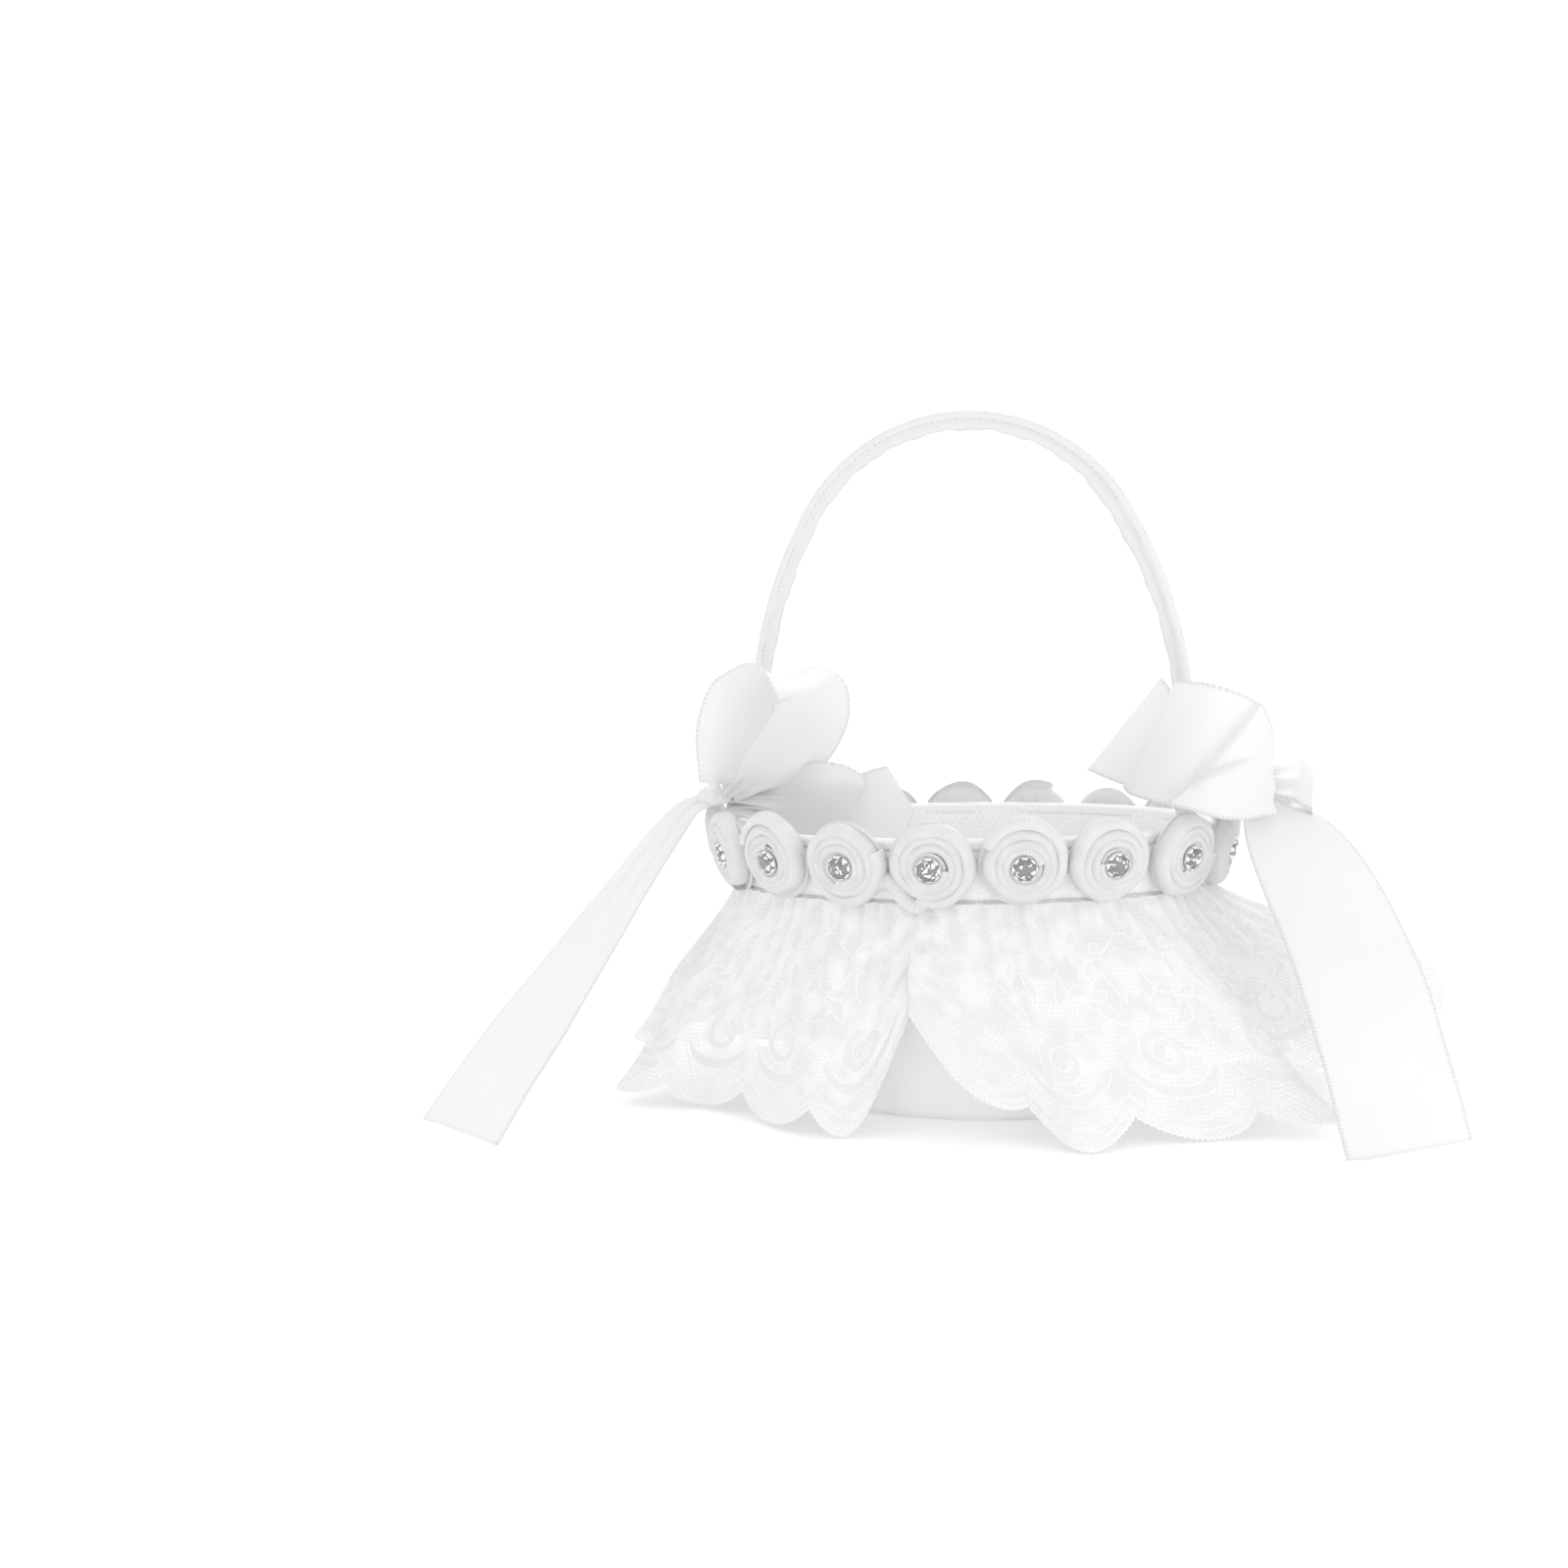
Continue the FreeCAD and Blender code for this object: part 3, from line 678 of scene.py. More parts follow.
def lace_motif(number):
    """Outlines and petals of one scallop: (points, widths) lists in flat millimetres."""
    left = number * 2.0 * LACE_STEP
    middle = left + LACE_STEP
    cords, petals = [], []

    def arc(angle, across, down, rise):
        return joined(middle + across * cos(angle), rise + down * sin(angle))

    def leaf(x, y, length, turn, wide):
        share = np.linspace(0.0, 1.0, 13)
        bow = sin(pi * share)
        axis = np.array([cos(turn), sin(turn)])
        side = np.array([-axis[1], axis[0]])
        spine = [x, y] + length * (axis * share[:, None] + side * 0.12 * bow[:, None])
        petals.append((spine, np.maximum(2.0 * wide * bow, 0.2)))
        for hand in (-1.0, 1.0):
            cords.append((spine + side * (hand * wide * bow)[:, None], 0.55))

    turn = np.linspace(0.4, 0.4 + 3.3 * pi, 40)
    radius = 2.2 + 2.0 * (turn - 0.4) / pi
    rose = arc(turn, radius, radius, 50.0)
    cords.append((rose, 0.6))
    petals.append((rose[18:] - (rose[18:] - [middle, 50.0]) * 0.16, 2.6))
    crescent = np.linspace(0.15 * pi, 0.85 * pi, 22)
    swell = sin(np.linspace(0.1, pi - 0.1, 22))
    petals.append((arc(crescent, 15.0, 15.5, 47.0), 3.4 * swell + 0.3))
    for reach in (-1.9, 1.9):
        cords.append((arc(crescent, 15.0 + reach, 15.5 + reach, 47.0), 0.5))
    for hand, first in ((1.0, 0.0), (-1.0, pi)):
        leaf(middle + hand * 9.0, 40.0, 13.0, first - hand * 0.7, 2.3)
        leaf(middle + hand * 4.0, 33.0, 12.0, first - hand * 1.25, 2.1)
        leaf(middle + hand * 15.0, 30.0, 10.0, first - hand * 0.1, 1.9)

    def vine(along):
        return joined(left + along, 15.0 + 4.0 * sin(along * pi / LACE_STEP))

    cords.append((vine(np.linspace(0.0, 2.0 * LACE_STEP, 30)), 0.5))
    for share in (0.2, 0.45, 0.7, 0.95):
        leaf(*vine(2.0 * LACE_STEP * share), 8.0, 0.9 + 5.0 * share, 1.6)
    return cords, petals


def build_lace():
    step = np.linspace(0.0, LACE_STEPS, LACE_STEPS * 14 + 1)
    share = np.linspace(0.0, 1.0, 34)[:, None] * lace_edge(step)
    skirt = patches("lace_skirt_cloth", [(lace_point(step, share), lace_uv(step, share))])
    finish(skirt, LACE_NET, "lace", "lace_skirt")

    cords, petals = [], []
    for above, width in HEM_CORDS:
        cords.append((lace_uv(step, lace_edge(step)) - [0.0, above], width))
    for rung in np.arange(RUNG_PITCH, LACE_STEPS * LACE_STEP - RUNG_PITCH, RUNG_PITCH):
        low = lace_edge(rung / LACE_STEP) * LACE_DROP
        cords.append(([(rung, low + 0.55), (rung, low - 3.2)], 0.5))
    for number in range(1, LACE_STEPS // 2):
        more_cords, more_petals = lace_motif(number)
        cords += more_cords
        petals += more_petals
    raised = patches("lace_cords", lace_strands(cords, 0.07))
    raised.data.shade_flat()
    finish(raised, LACE_CORD, "lace")
    woven = patches("lace_petals", lace_strands(petals, 0.04))
    woven.data.shade_flat()
    finish(woven, LACE_PETAL, "lace")
    heading = wall_band("lace_heading_cloth", "lace_heading", LACE_PETAL, "lace_heading", 0.7)


# ---- rosettes and rhinestones

ROSETTES = 17
FIRST_ROSETTE = 0.518
ROSETTE_LEVEL = 84.0
ROSETTE_RADIUS = 13.9
ROSETTE_BACK = 1.25  # from the satin, over the tape
ROSETTE_DEPTH = 8.0
CHIFFON_THICK = 0.25
ROLL_START = 4.7  # radius of the first turn
# (sideways from the ridge, share of the height) from the inner foot over the fold to the outer foot
ROLL_SECTION = (
    (-0.5, 0.35), (-0.7, 0.6), (-0.75, 0.82), (-0.55, 0.94), (-0.15, 1.0), (0.4, 1.0), (1.1, 0.95),
    (1.8, 0.86), (2.3, 0.7), (2.45, 0.5), (2.2, 0.2),
)
WALL_SLOPE = atan2(RIM_HALF[0] - FOOT_HALF[0], RIM_LEVEL - FOOT_LEVEL)


def rosette_places():
    """Evenly spaced places round the wall: a turn with its Z square to the wall, and a foot."""
    fine = turns(4001)
    run = length_along(wall(fine, ROSETTE_LEVEL, ROSETTE_BACK + ROSETTE_DEPTH / 2.0))
    shares = (FIRST_ROSETTE + np.arange(ROSETTES) / ROSETTES) % 1.0
    half_length = wall(0.0, ROSETTE_LEVEL, ROSETTE_BACK)[0]
    half_width = wall(pi / 2, ROSETTE_LEVEL, ROSETTE_BACK)[1]
    places = []
    for angle in np.interp(shares * run[-1], run, fine):
        level = unit(np.array([half_width * cos(angle), half_length * sin(angle), 0.0]))
        outward = level * cos(WALL_SLOPE) - UP * sin(WALL_SLOPE)
        side = unit(np.cross(UP, outward))
        turn = np.array([side, np.cross(outward, side), outward]).T
        places.append((turn, wall(angle, ROSETTE_LEVEL, ROSETTE_BACK)))
    return places


def placed(points, place):
    turn, foot = place
    return points @ turn.T + foot


def rolled_strip(number):
    """A folded chiffon strip rolled into a rose: its fold stands up in turns that lean outwards."""
    rng = np.random.default_rng(100 + number)
    rounds = 3.15 + 0.25 * rng.random()
    start = rng.random() * 2.0 * pi
    hand = 1.0 if number % 5 else -1.0
    turn = np.linspace(0.0, rounds * 2.0 * pi, 300)
    share = turn / turn[-1]
    sway = rng.random(4) * 2.0 * pi
    uneven = (0.35 * sin(turn * 1.3 + sway[0]) + 0.2 * sin(turn * 2.7 + sway[1])) * share
    radius = ROLL_START + (ROSETTE_RADIUS - 2.4 - ROLL_START) * share ** 1.15 + uneven
    ridge = 7.2 - 1.0 * share ** 1.4 + 0.2 * sin(turn * 2.9 + sway[2])
    width = 1.0 + 0.1 * sin(turn * 5.3 + sway[3])
    angle = start + hand * turn
    top = ridge + 0.05 * sin(turn * radius / 0.3)
    rows = [polar(radius + sideways * width, angle, top * height) for sideways, height in ROLL_SECTION]
    wander = np.array([0.5 * cos(start), 0.5 * sin(start) + 1.1, 0.0])
    grid = np.stack(rows) + share[:, None] * wander
    along = length_along(grid[4])
    down = length_along(np.array(ROLL_SECTION) * [1.0, ridge.mean()])
    return grid, cloth_uv(down, along), along[-1]


def rosette_back():
    """The flat spiral foot of the rose, which closes it behind."""
    shares = np.array([0.0, 0.4, 0.8, 1.0])
    radius = (ROSETTE_RADIUS - 0.7) * shares
    level = 0.35 + 1.3 * shares ** 3
    return polar(radius[:, None], turns(49), level[:, None]), cloth_uv(radius, turns(49) * radius[-1])


def rosette_throat():
    """The strip's folded start, laid round the cup so that the rose has no hollow middle."""
    radius = np.array([3.2, 3.9, 4.6, 5.3])
    level = np.array([5.5, 5.75, 6.2, 6.4])
    return polar(radius[:, None], turns(49), level[:, None]), cloth_uv(radius, turns(49) * 4.0)


def build_rosettes():
    places = rosette_places()
    for number, place in enumerate(places, start=1):
        strip, strip_uv, long = rolled_strip(number)
        parts = [(strip, strip_uv), rosette_back(), rosette_throat()]
        laid = [(placed(points, place), uv) for points, uv in parts]
        rose = patches(f"chiffon_rose_{number:02d}", laid)
        finish(thicken(rose, CHIFFON_THICK), CHIFFON, "chiffon", f"rosette_{number:02d}")
    build_cups(places)
    build_stones(places)


CUP_RADIUS = 3.95
CUP_LEVEL = ROSETTE_DEPTH - 2.0
# (share of the radius, height) from the middle of the dish over its rim and back inside
CUP_SECTION = (
    (0.0, 0.05), (0.75, 0.05), (0.95, 0.3), (1.0, 0.8), (0.99, 1.35), (0.93, 1.75), (0.86, 1.9),
    (0.84, 1.8), (0.9, 1.3), (0.87, 0.7), (0.8, 0.5), (0.0, 0.5),
)
PRONGS = 8
# (radius, height, corners, turn in corners) of the table, the star facets and the girdle's edges
STONE_RINGS = ((1.75, 2.5, 8, 0.5), (2.85, 2.0, 8, 0.0), (3.85, 1.05, 16, 0.25), (3.85, 0.75, 16, 0.25))
STONE_TIP = 0.55


def build_cups(places):
    """Plated cups: a rounded dish whose rim is cut into prongs that close over the stone."""
    angle = turns(PRONGS * 12 + 1)
    prong = 0.5 + 0.5 * cos(angle * PRONGS)
    rows = []
    for reach, height in CUP_SECTION:
        tall = height - 0.75 * (1.0 - ease((prong - 0.25) / 0.35)) * ease((height - 0.9) / 0.6)
        rows.append(polar(CUP_RADIUS * reach, angle, CUP_LEVEL + tall))
    uv = cloth_uv(np.arange(len(rows)), angle * CUP_RADIUS)
    cups = patches("pronged_cups", [(placed(np.stack(rows), place), uv) for place in places])
    finish(cups, PLATED, "plated_cups", "rhinestone_cups")


def build_stones(places):
    """Brilliant-cut stones: table, star and kite facets above a girdle, flat faces that don't blend."""
    rng = np.random.default_rng(7)
    for number, place in enumerate(places, start=1):
        work = bmesh.new()
        rings = []
        for radius, height, count, shift in STONE_RINGS:
            angle = (np.arange(count) + shift) * 2.0 * pi / count
            ring = placed(polar(radius, angle, CUP_LEVEL + height), place) * MM
            rings.append([work.verts.new(corner) for corner in ring])
        tip = work.verts.new(placed(UP * (CUP_LEVEL + STONE_TIP), place) * MM)
        table, stars, girdle, low = rings
        work.faces.new(table)
        for corner in range(8):
            after = (corner + 1) % 8
            work.faces.new((table[corner], stars[corner], stars[after]))
            work.faces.new((table[corner], stars[after], table[after]))
            outer = [girdle[(2 * corner + step) % 16] for step in (-1, 0, 1)]
            work.faces.new((stars[corner], outer[0], outer[1]))
            work.faces.new((stars[corner], outer[1], outer[2]))
            work.faces.new((stars[corner], outer[2], stars[after]))
        for corner in range(16):
            after = (corner + 1) % 16
            work.faces.new((girdle[corner], low[corner], low[after], girdle[after]))
            work.faces.new((low[corner], tip, low[after]))
        bmesh.ops.recalc_face_normals(work, faces=work.faces)
        mesh = bpy.data.meshes.new(f"cut_stone_{number:02d}")
        work.to_mesh(mesh)
        work.free()
        # A random painted reflection for each face: most faces near black, the rest bright.
        painted_reflections = rng.random(len(mesh.polygons))
        painted_reflections = np.where(painted_reflections > 0.6, 0.35 + 0.65 * painted_reflections, 0.12 * painted_reflections)
        attribute = mesh.attributes.new("painted_facet_reflection", "FLOAT", "FACE")
        attribute.data.foreach_set("value", painted_reflections.astype(np.float32))
        finish(add_object(mesh.name, mesh), STONE, "rhinestone", f"rhinestone_{number:02d}")


STRIP_END_SHIFT = np.array([3.5, 1.5, 9.0])  # from its CAD solid up in between two roses


def build_strip_end():
    """The loose end of the rosette strip: its folded edge curls forward under the front roses."""
    centre = (box("rosette_strip_end")[0] + box("rosette_strip_end")[1]) / 2.0 + STRIP_END_SHIFT
    curl = [(-10.3, 1.9), (-7.2, 4.3), (-3.2, 4.9), (0.1, 2.9), (2.4, -0.4), (5.6, -2.6), (9.0, -2.0)]
    at = np.linspace(0.0, len(curl) - 1.0, 90)
    line = spline_at(curl, at)
    direction = unit(np.gradient(line, axis=0))
    outward = joined(-direction[:, 1], direction[:, 0])
    along = length_along(line)
    swell = 1.0 - 0.35 * (2.0 * at / at[-1] - 1.0) ** 4
    # (outwards from the fold's middle, forwards) from one raw edge over the fold to the other
    section = [
        (-3.2, -1.6), (-2.9, -0.2), (-2.0, 0.8), (-0.8, 1.3), (0.5, 1.3), (1.5, 0.8), (2.0, 0.0),
        (2.1, -1.4),
    ]
    rows = []
    for side, forward in section:
        reach = line + outward * (side * swell)[:, None]
        depth = 1.1 + forward + 0.05 * sin(along * 6.6) * forward
        rows.append(centre + joined(reach[:, 0], -depth, reach[:, 1]))
    down = length_along(np.array(section))
    frill = patches("chiffon_strip_end", [(np.stack(rows), cloth_uv(down, along))])
    finish(thicken(frill, CHIFFON_THICK), CHIFFON, "chiffon", "rosette_strip_end")


# ---- handle

HANDLE_SPAN = 72.8
ARCH_RADIUS = 61.0
ARCH_CENTRE = 162.5
ARCH_ANGLE = radians(60.0)
SLEEVE_FOOT = 92.5
SLEEVE_ROLL = 1.65
SLEEVE_FOLD = 5.4
SLEEVE_THICK = 0.3
# (share of the fold's width, half its depth) from its edge to the roll
FOLD_SECTION = ((1.0, 0.22), (0.7, 0.46), (0.4, 0.44), (0.12, 0.3))
SEAM_TURNS = (radians(36.0), radians(122.0))  # from the outer edge round towards the fold


def arch_line():
    """Points up one leg, over the arch and down the other, with their outward directions."""
    side_radius = (HANDLE_SPAN - ARCH_RADIUS * sin(ARCH_ANGLE)) / (1.0 - sin(ARCH_ANGLE))
    side_x = HANDLE_SPAN - side_radius
    side_z = ARCH_CENTRE - (side_radius - ARCH_RADIUS) * cos(ARCH_ANGLE)
    leg = np.linspace(SLEEVE_FOOT, side_z, 40)[:-1]
    bend = np.linspace(pi / 2.0, ARCH_ANGLE, 24)[:-1]
    crown = np.linspace(ARCH_ANGLE, 0.0, 90)
    points = np.vstack([
        joined(HANDLE_SPAN, 0.0, leg),
        joined(side_x + side_radius * sin(bend), 0.0, side_z + side_radius * cos(bend)),
        joined(ARCH_RADIUS * sin(crown), 0.0, ARCH_CENTRE + ARCH_RADIUS * cos(crown))])
    turn = np.concatenate([np.full(len(leg), pi / 2.0), bend, crown])
    outward = joined(sin(turn), 0.0, cos(turn))
    mirror = np.array([-1.0, 1.0, 1.0])
    return (np.vstack([line, line[::-1][1:] * mirror]) for line in (points, outward))


def beside(points, outward, out, back):
    """The points moved outwards and backwards, each by a number or by one number per point."""
    return points + outward * np.reshape(out, (-1, 1)) + BACKWARDS * np.reshape(back, (-1, 1))


def build_handle():
    """The satin sleeve: rolled round the wire outside, folded flat inside, with seams between."""
    points, outward = arch_line()
    along = length_along(points)
    share = along / along[-1]
    # the fold stands wider and wavier where the two lengths of ribbon overlap, at the upper right
    overlap = np.exp(-((share - 0.31) / 0.075) ** 2)
    uneven = 0.25 * sin(along * 0.35) + 0.2 * sin(along * 0.83)
    width = SLEEVE_FOLD - 1.0 + 1.1 * overlap + uneven
    wave = 0.25 * ripple(along * 0.5, along * 0.23 + 1.0) + 0.35 * overlap * sin(along * 0.7)
    radius = SLEEVE_ROLL + 0.06 * sin(along * 2.4) + 0.05 * sin(along * 3.7)

    def fold_row(reach, lift):
        inward = SLEEVE_ROLL + reach * (width - SLEEVE_ROLL)
        return beside(points, outward, -inward, lift + wave * reach)

    around = np.linspace(radians(152.0), radians(-152.0), 17)
    rows = [fold_row(reach, lift) for reach, lift in FOLD_SECTION]
    rows += [beside(points, outward, radius * cos(turn), radius * sin(turn)) for turn in around]
    rows += [fold_row(reach, -lift) for reach, lift in FOLD_SECTION[::-1]]
    down = length_along(np.stack(rows)[:, 60])
    sleeve = patches("handle_sleeve_cloth", [(np.stack(rows), cloth_uv(down, along))])
    thicken(sleeve, SLEEVE_THICK)
    finish(sleeve, SLEEVE_SATIN, "satin_sleeve", "handle_sleeve", body="handle")
    seams = []
    for face in (-SLEEVE_ROLL, SLEEVE_ROLL):
        for turn in SEAM_TURNS:
            line = beside(points, outward, SLEEVE_ROLL * cos(turn), face * sin(turn))
            seams.append(stitch_line(line, outward, along))
    thread = patches("sleeve_seam", seams)
    finish(thread, PAINTED_SHADE_SEAM, "satin_sleeve", body="handle")


def stitch_line(points, outward, along):
    """A row of small stitches as one rope that swells at each stitch."""
    swell = 0.13 + 0.08 * np.abs(sin(along * pi / SEAM_PITCH))
    around = turns(6)
    rows = [beside(points, outward, swell * cos(turn), swell * sin(turn)) for turn in around]
    return np.stack(rows), cloth_uv(around * 0.2, along)


# ---- bows

RIBBON_THICK = 0.35
PLEATS = 2.5  # across the ribbon, where it is drawn together


def ribbon(side_name, part, stations, sides, cup=2.0, sway=0.5, gather=0.13, point=0.0,
           creases=()):
    """A run of ribbon through (x, y, z, width) stations.

    sides are the directions across it at even places along its run. Where it is narrower than its
    cloth, the rest of the width stands up in pleats, and cup bows it lengthwise. point draws the
    middle of its cut end out. Each crease is (station, place across) at both its ends, its height
    and how far to its sides it reaches."""
    count = 14 * (len(stations) - 1) + 1
    at = np.linspace(0.0, len(stations) - 1.0, count)
    run = spline_at(np.array(stations, float), at)
    centre, width = run[:, :3], run[:, 3]
    side = unit(spline_at(np.array(sides, float), at / (len(stations) - 1.0) * (len(sides) - 1.0)))
    forward = unit(np.gradient(centre, axis=0))
    side = unit(side - forward * (side * forward).sum(axis=1, keepdims=True))
    normal = np.cross(forward, side)
    along = length_along(centre)
    across = np.linspace(-1.0, 1.0, 49)
    spare = np.sqrt(np.maximum(RIBBON_WIDTH ** 2 - width ** 2, 0.0))
    depth = gather * spare / PLEATS * ease((29.0 - width) / 18.0)
    full = width / RIBBON_WIDTH
    grid = []
    for place in across:
        lift = depth * cos(pi * PLEATS * (place + 0.15)) + cup * (1.0 - place ** 2) * full
        lift = lift + sway * full * ripple(along * 0.16 + place * 1.5, along * 0.09 - place * 2.3)
        for crease in creases:
            lift = lift + creased(at, place, *crease)
        tip = point * (1.0 - 2.0 * abs(place)) * ease(at - at[-1] + 1.0)
        row = centre + side * (width / 2.0 * place)[:, None] + normal * lift[:, None]
        grid.append(row + forward * tip[:, None])
    flat = cloth_uv(across * RIBBON_WIDTH / 2.0, along)
    cloth = patches(f"{side_name}_{part}_cloth", [(np.stack(grid), flat)])
    thicken(cloth, RIBBON_THICK)
    finish(cloth, RIBBON, "satin_ribbon", f"{side_name}_bow_{part}")


def creased(at, place, start, end, height, spread):
    """How far a diagonal fold lifts the cloth: a steep lip on one side, easing away on the other."""
    span = np.array(end) - start
    ahead, beside_it = at - start[0], place - start[1]
    reach = (ahead * span[0] + beside_it * span[1]) / (span @ span)
    fade = ease(1.35 - reach) * ease((reach + 0.5) / 0.4)
    side = (ahead * span[1] - beside_it * span[0]) / np.linalg.norm(span) / spread
    lip = np.where(side > 0.0, np.exp(-side / 0.45) * (1.0 - np.exp(-side / 0.015)), 0.0)
    dip = np.where(side < 0.0, -0.7 * np.exp(side / 0.3) * (1.0 - np.exp(side / 0.05)), 0.0)
    return height * fade * (lip + dip)


# inwards, forwards and down from its CAD node, to where the folds of its bow meet
KNOT_SHIFT = np.array([3.0, -6.0, -1.6])


def knot(side_name):
    """The band of ribbon drawn tight round the middle of a bow, creased along its turns."""
    low, high = box(f"{side_name}_bow_knot")
    centre, half = (low + high) / 2.0, (high - low) / 2.0
    centre = centre + KNOT_SHIFT * np.array([-np.sign(centre[0]), 1.0, 1.0])
    tall = np.linspace(0.0, pi, 31)[:, None]
    angle = turns(65)
    crease = 1.0 + 0.07 * cos(tall * 9.0 + 0.8 * sin(angle)) * sin(tall)
    girth = sin(tall) ** 0.7 * (crease + 0.04 * sin(angle * 3.0 + 1.0))
    grid = centre + half * joined(cos(tall), girth * cos(angle), girth * sin(angle))
    pad = patches(f"{side_name}_knot_cloth", [(grid, cloth_uv(tall[:, 0] * 6.0, angle * 6.0))])
    finish(pad, RIBBON, "satin_ribbon", f"{side_name}_bow_knot")


def build_bows():
    knot("left")
    ribbon("left", "loop", [
        (-79, -18, 103.5, 9), (-75, -23, 109, 26), (-73, -24, 117, 34), (-70.5, -24, 127, 37),
        (-66, -23, 135, 38), (-57, -23, 140.5, 38), (-48.5, -23, 136.5, 38), (-46.5, -23, 129, 35),
        (-49.5, -23, 121.5, 36), (-56, -22, 113.5, 37), (-65, -20, 105.5, 28), (-77.5, -17, 100.5, 9),
    ], [
        (0.45, 0.89, -0.08), (0.5, 0.86, -0.08), (0.5, 0.86, -0.08), (0.55, 0.83, -0.08),
        (0.6, 0.8, -0.08),
    ], cup=-1.2)
    ribbon("left", "side_loop", [
        (-80.5, -11, 99.5, 9), (-72, -9.5, 99, 14), (-62, -7, 97, 24), (-51, -8.5, 96, 31),
        (-43, -9.5, 96, 31), (-36.5, -7.5, 94, 24), (-42, -4.5, 95, 25), (-54, -3.8, 96, 20),
        (-70, -6.9, 98.5, 10), (-80.5, -9, 98.5, 9),
    ], [(0.0, -0.25, 0.97)] * 3, cup=0.6, sway=0.3, gather=0.2)
    ribbon("left", "end", [
        (-80.5, -6.8, 98.5, 9), (-71, -4.8, 98.5, 9), (-62, -1.5, 98, 17), (-50, 0, 96, 24),
        (-37, 0.5, 93, 28), (-22, 1, 93.5, 32),
    ], [(0.0, -0.2, 0.98)] * 2, cup=1.0, sway=0.4, gather=0.2, point=4.0)
    ribbon("left", "tail", [
        (-85, -15, 99, 8), (-92.5, -18, 95.5, 11), (-98, -27, 87, 15), (-109, -43, 67, 22),
        (-122.5, -61, 43, 31), (-135.5, -77, 20, 37.5), (-144.5, -92, 1.4, 38),
    ], [(0.90, -0.44, 0.0)] * 4, cup=1.5, gather=0.07)
    knot("right")
    ribbon("right", "loop", [
        (81, -17.5, 104, 9), (70, -17, 111, 24), (63.5, -21, 117, 34), (65, -31, 118.5, 37),
        (72, -38, 118, 38), (81, -42, 116.5, 38), (91, -39, 112, 36), (98.5, -30, 107, 26),
        (97, -23, 103, 18), (91, -18, 101.5, 9),
    ], [
        (0.35, 0.0, 0.93), (0.42, 0.0, 0.9), (0.4, 0.0, 0.92), (0.2, 0.05, 0.98), (-0.05, 0.1, 0.99),
        (-0.1, 0.2, 0.97),
    ], cup=1.0, creases=[((4.3, -0.95), (5.9, 0.0), 4.2, 1.0), ((5.3, -0.1), (5.9, 1.3), 3.0, 1.5)])
    ribbon("right", "end", [
        (79, -6, 105, 9), (70, -7.5, 109.5, 22), (61, -8.5, 116, 32), (53, -9, 122.5, 38),
    ], [(0.7, 0.0, 0.71)] * 2, cup=1.5)
    ribbon("right", "side_loop", [
        (93, -7, 103.5, 9), (100, -7, 104.5, 23), (107, -6, 104, 27), (110, -5, 98.5, 27),
        (105, -5, 93.5, 23), (94.5, -7, 97, 9),
    ], [(0.05, 0.9, 0.42)] * 3, cup=1.0, gather=0.24)
    ribbon("right", "tail", [
        (86, -15, 99.5, 8), (94, -18, 97, 14), (103, -25, 90, 28), (113, -33, 75, 35),
        (124, -44, 52, 38), (132, -53, 27, 38), (138.5, -60, 1.4, 38),
    ], [(0.93, 0.37, 0.0)] * 4, cup=1.5)


# ---- kept CAD nodes

def dress_cad_nodes():
    for node, material in (("pail_shell", BOARD), ("handle_wire", ENAMEL), ("handle_pins", STEEL)):
        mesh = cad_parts[node].data
        mesh.materials.clear()
        mesh.materials.append(material)


# ---- floor, light and camera

CAMERA_PLACE = (0.1234, -0.6350, 0.1534)
CAMERA_YAW = radians(-16.38)
CAMERA_PITCH = radians(-4.37)
CAMERA_ROLL = radians(-1.42)
LENS = 44.66
SENSOR = 36.0
LIGHT_AIM = (0.0, 0.0, 0.09)
FLOOR_GLOW = 0.22
HIGH_KEY_GAMMA = 1.6  # the even, bright development of a white object shot on white


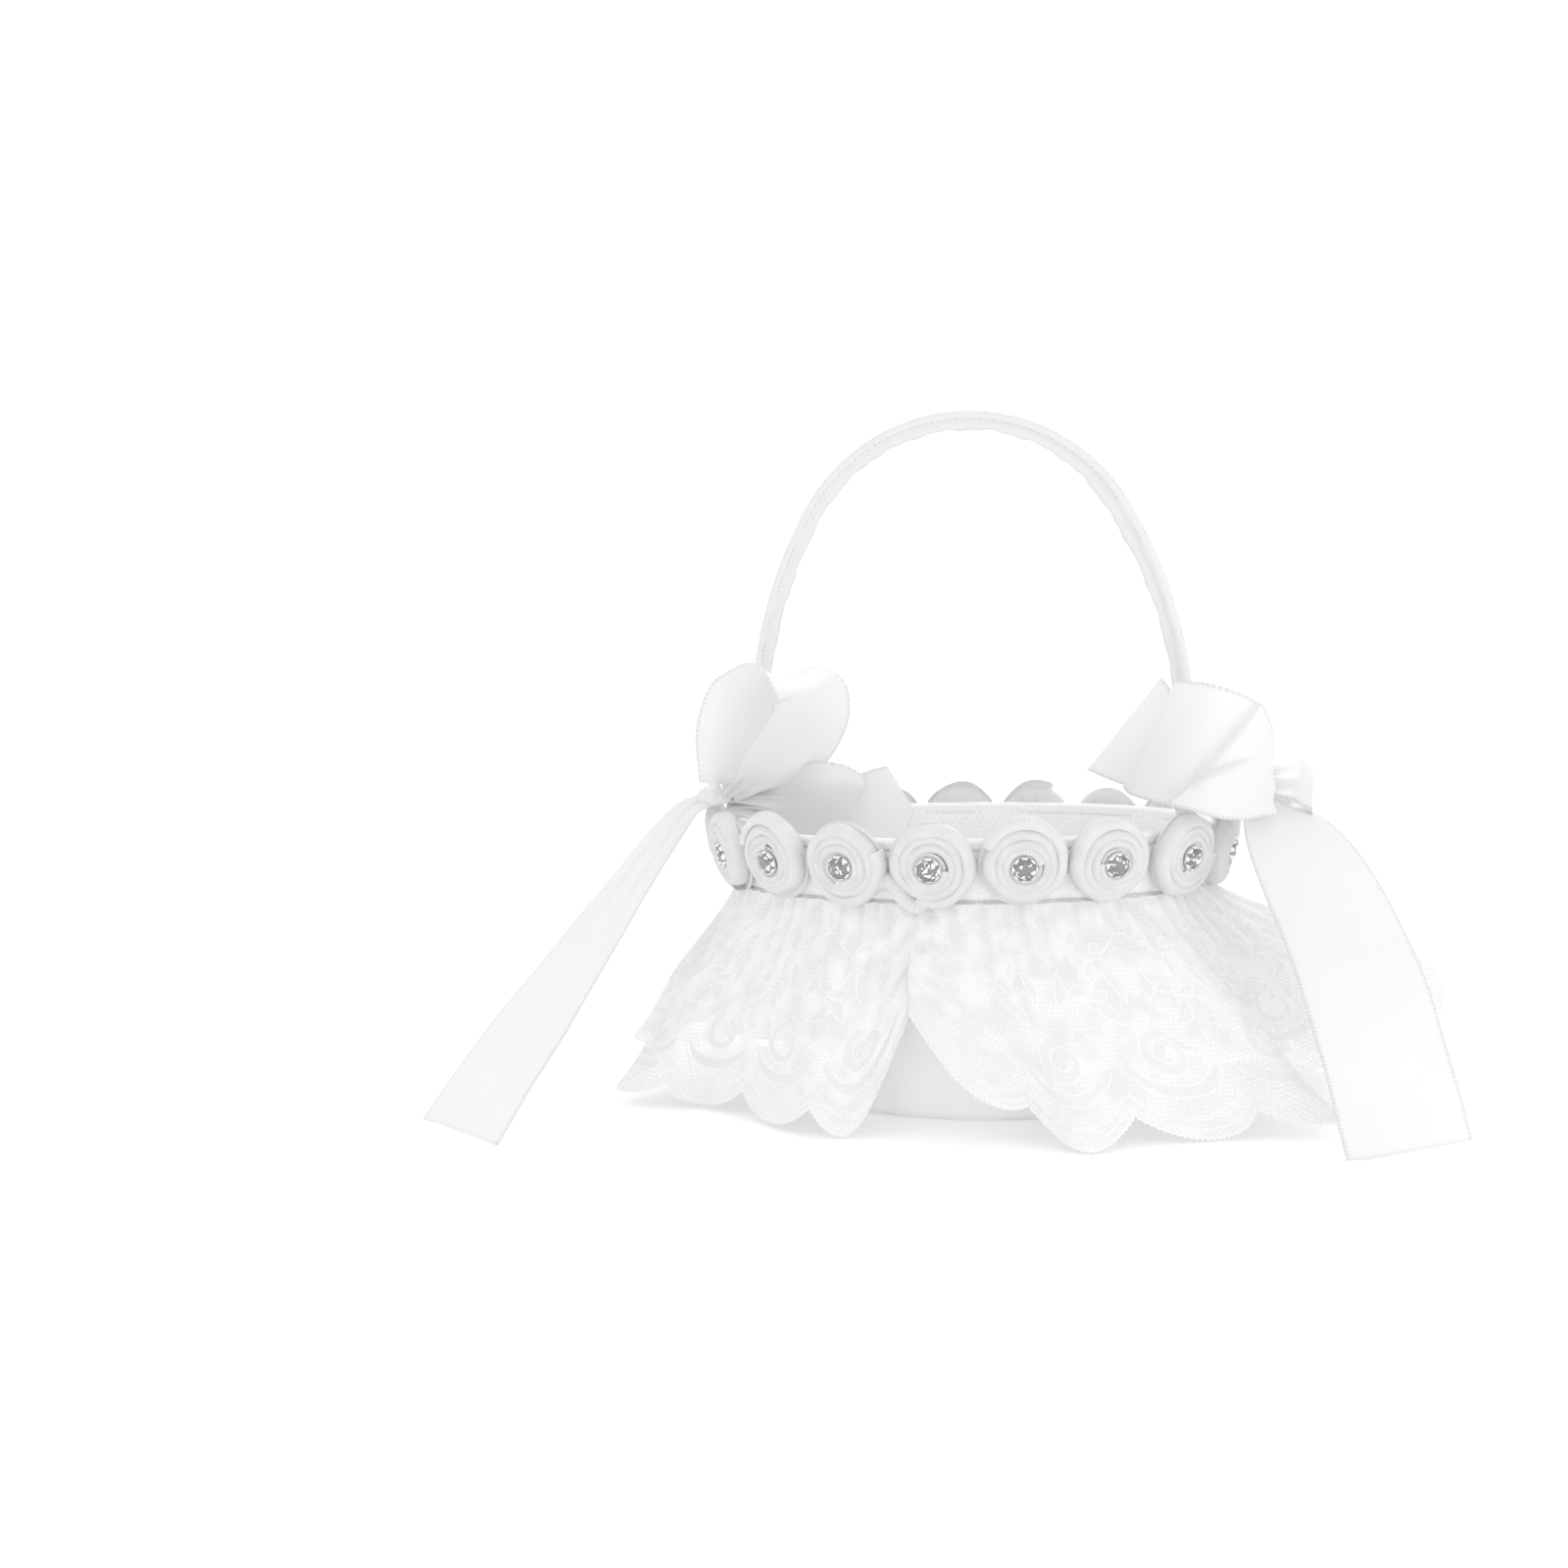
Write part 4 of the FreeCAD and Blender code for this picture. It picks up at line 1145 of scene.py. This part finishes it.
def build_camera():
    data = bpy.data.cameras.new("camera")
    data.lens = LENS
    data.sensor_width = SENSOR
    data.clip_start = 0.01
    data.clip_end = 20.0
    camera = add_object("camera", data)
    camera.location = CAMERA_PLACE
    look = (Matrix.Rotation(-CAMERA_YAW, 4, "Z") @ Matrix.Rotation(pi / 2.0 + CAMERA_PITCH, 4, "X")
            @ Matrix.Rotation(CAMERA_ROLL, 4, "Z"))
    camera.rotation_euler = look.to_euler()
    bpy.context.scene.camera = camera


def build_floor():
    """A plain pale sweep: floor that bends up into a backdrop far behind."""
    depth = np.array([-3.0, -1.0, 0.0, 1.2, 1.9, 2.3, 2.45, 2.5])[:, None]
    rise = np.array([0.0, 0.0, 0.0, 0.0, 0.05, 0.35, 0.9, 3.0])[:, None]
    rows = joined(np.linspace(-3.5, 3.5, 8), depth, rise) / MM
    floor = patches("floor", [(rows, rows[..., :2])])
    look = Shader("floor_paper", grey(0.93, 0.0), 0.9, Specular_IOR_Level=0.1,
                  Emission_Color=(1.0, 1.0, 1.0, 1.0), Emission_Strength=FLOOR_GLOW)
    look.tint(look.noise(look.place(), 300.0), grey(0.925, 0.0), grey(0.935, 0.0))
    floor.data.materials.append(look.material)


def area_light(name, place, size, power):
    data = bpy.data.lights.new(name, "AREA")
    data.shape = "DISK"
    data.size = size
    data.energy = power
    light = add_object(name, data)
    light.location = place
    light.rotation_euler = (Vector(LIGHT_AIM) - Vector(place)).to_track_quat("-Z", "Y").to_euler()


def build_light():
    world = bpy.data.worlds.new("studio")
    world.use_nodes = True
    sky = world.node_tree.nodes["Background"].inputs
    sky["Color"].default_value = (1.0, 1.0, 1.0, 1.0)
    sky["Strength"].default_value = 1.0
    bpy.context.scene.world = world
    area_light("key_softbox", (-0.75, -0.7, 1.0), 0.6, 1.2)
    area_light("front_fill", (0.5, -1.2, 0.3), 0.9, 1.2)
    area_light("back_card", (0.1, 1.0, 1.0), 0.9, 7.0)
    area_light("right_card", (1.2, -0.5, 0.4), 0.6, 2.6)
    development = bpy.context.scene.view_settings
    development.view_transform = "Standard"
    development.gamma = HIGH_KEY_GAMMA


build_cover()
build_foot()
build_lining()
build_floor_pad()
build_binding()
build_tape()
build_lace()
build_rosettes()
build_strip_end()
build_handle()
build_bows()
dress_cad_nodes()
build_floor()
build_light()
build_camera()
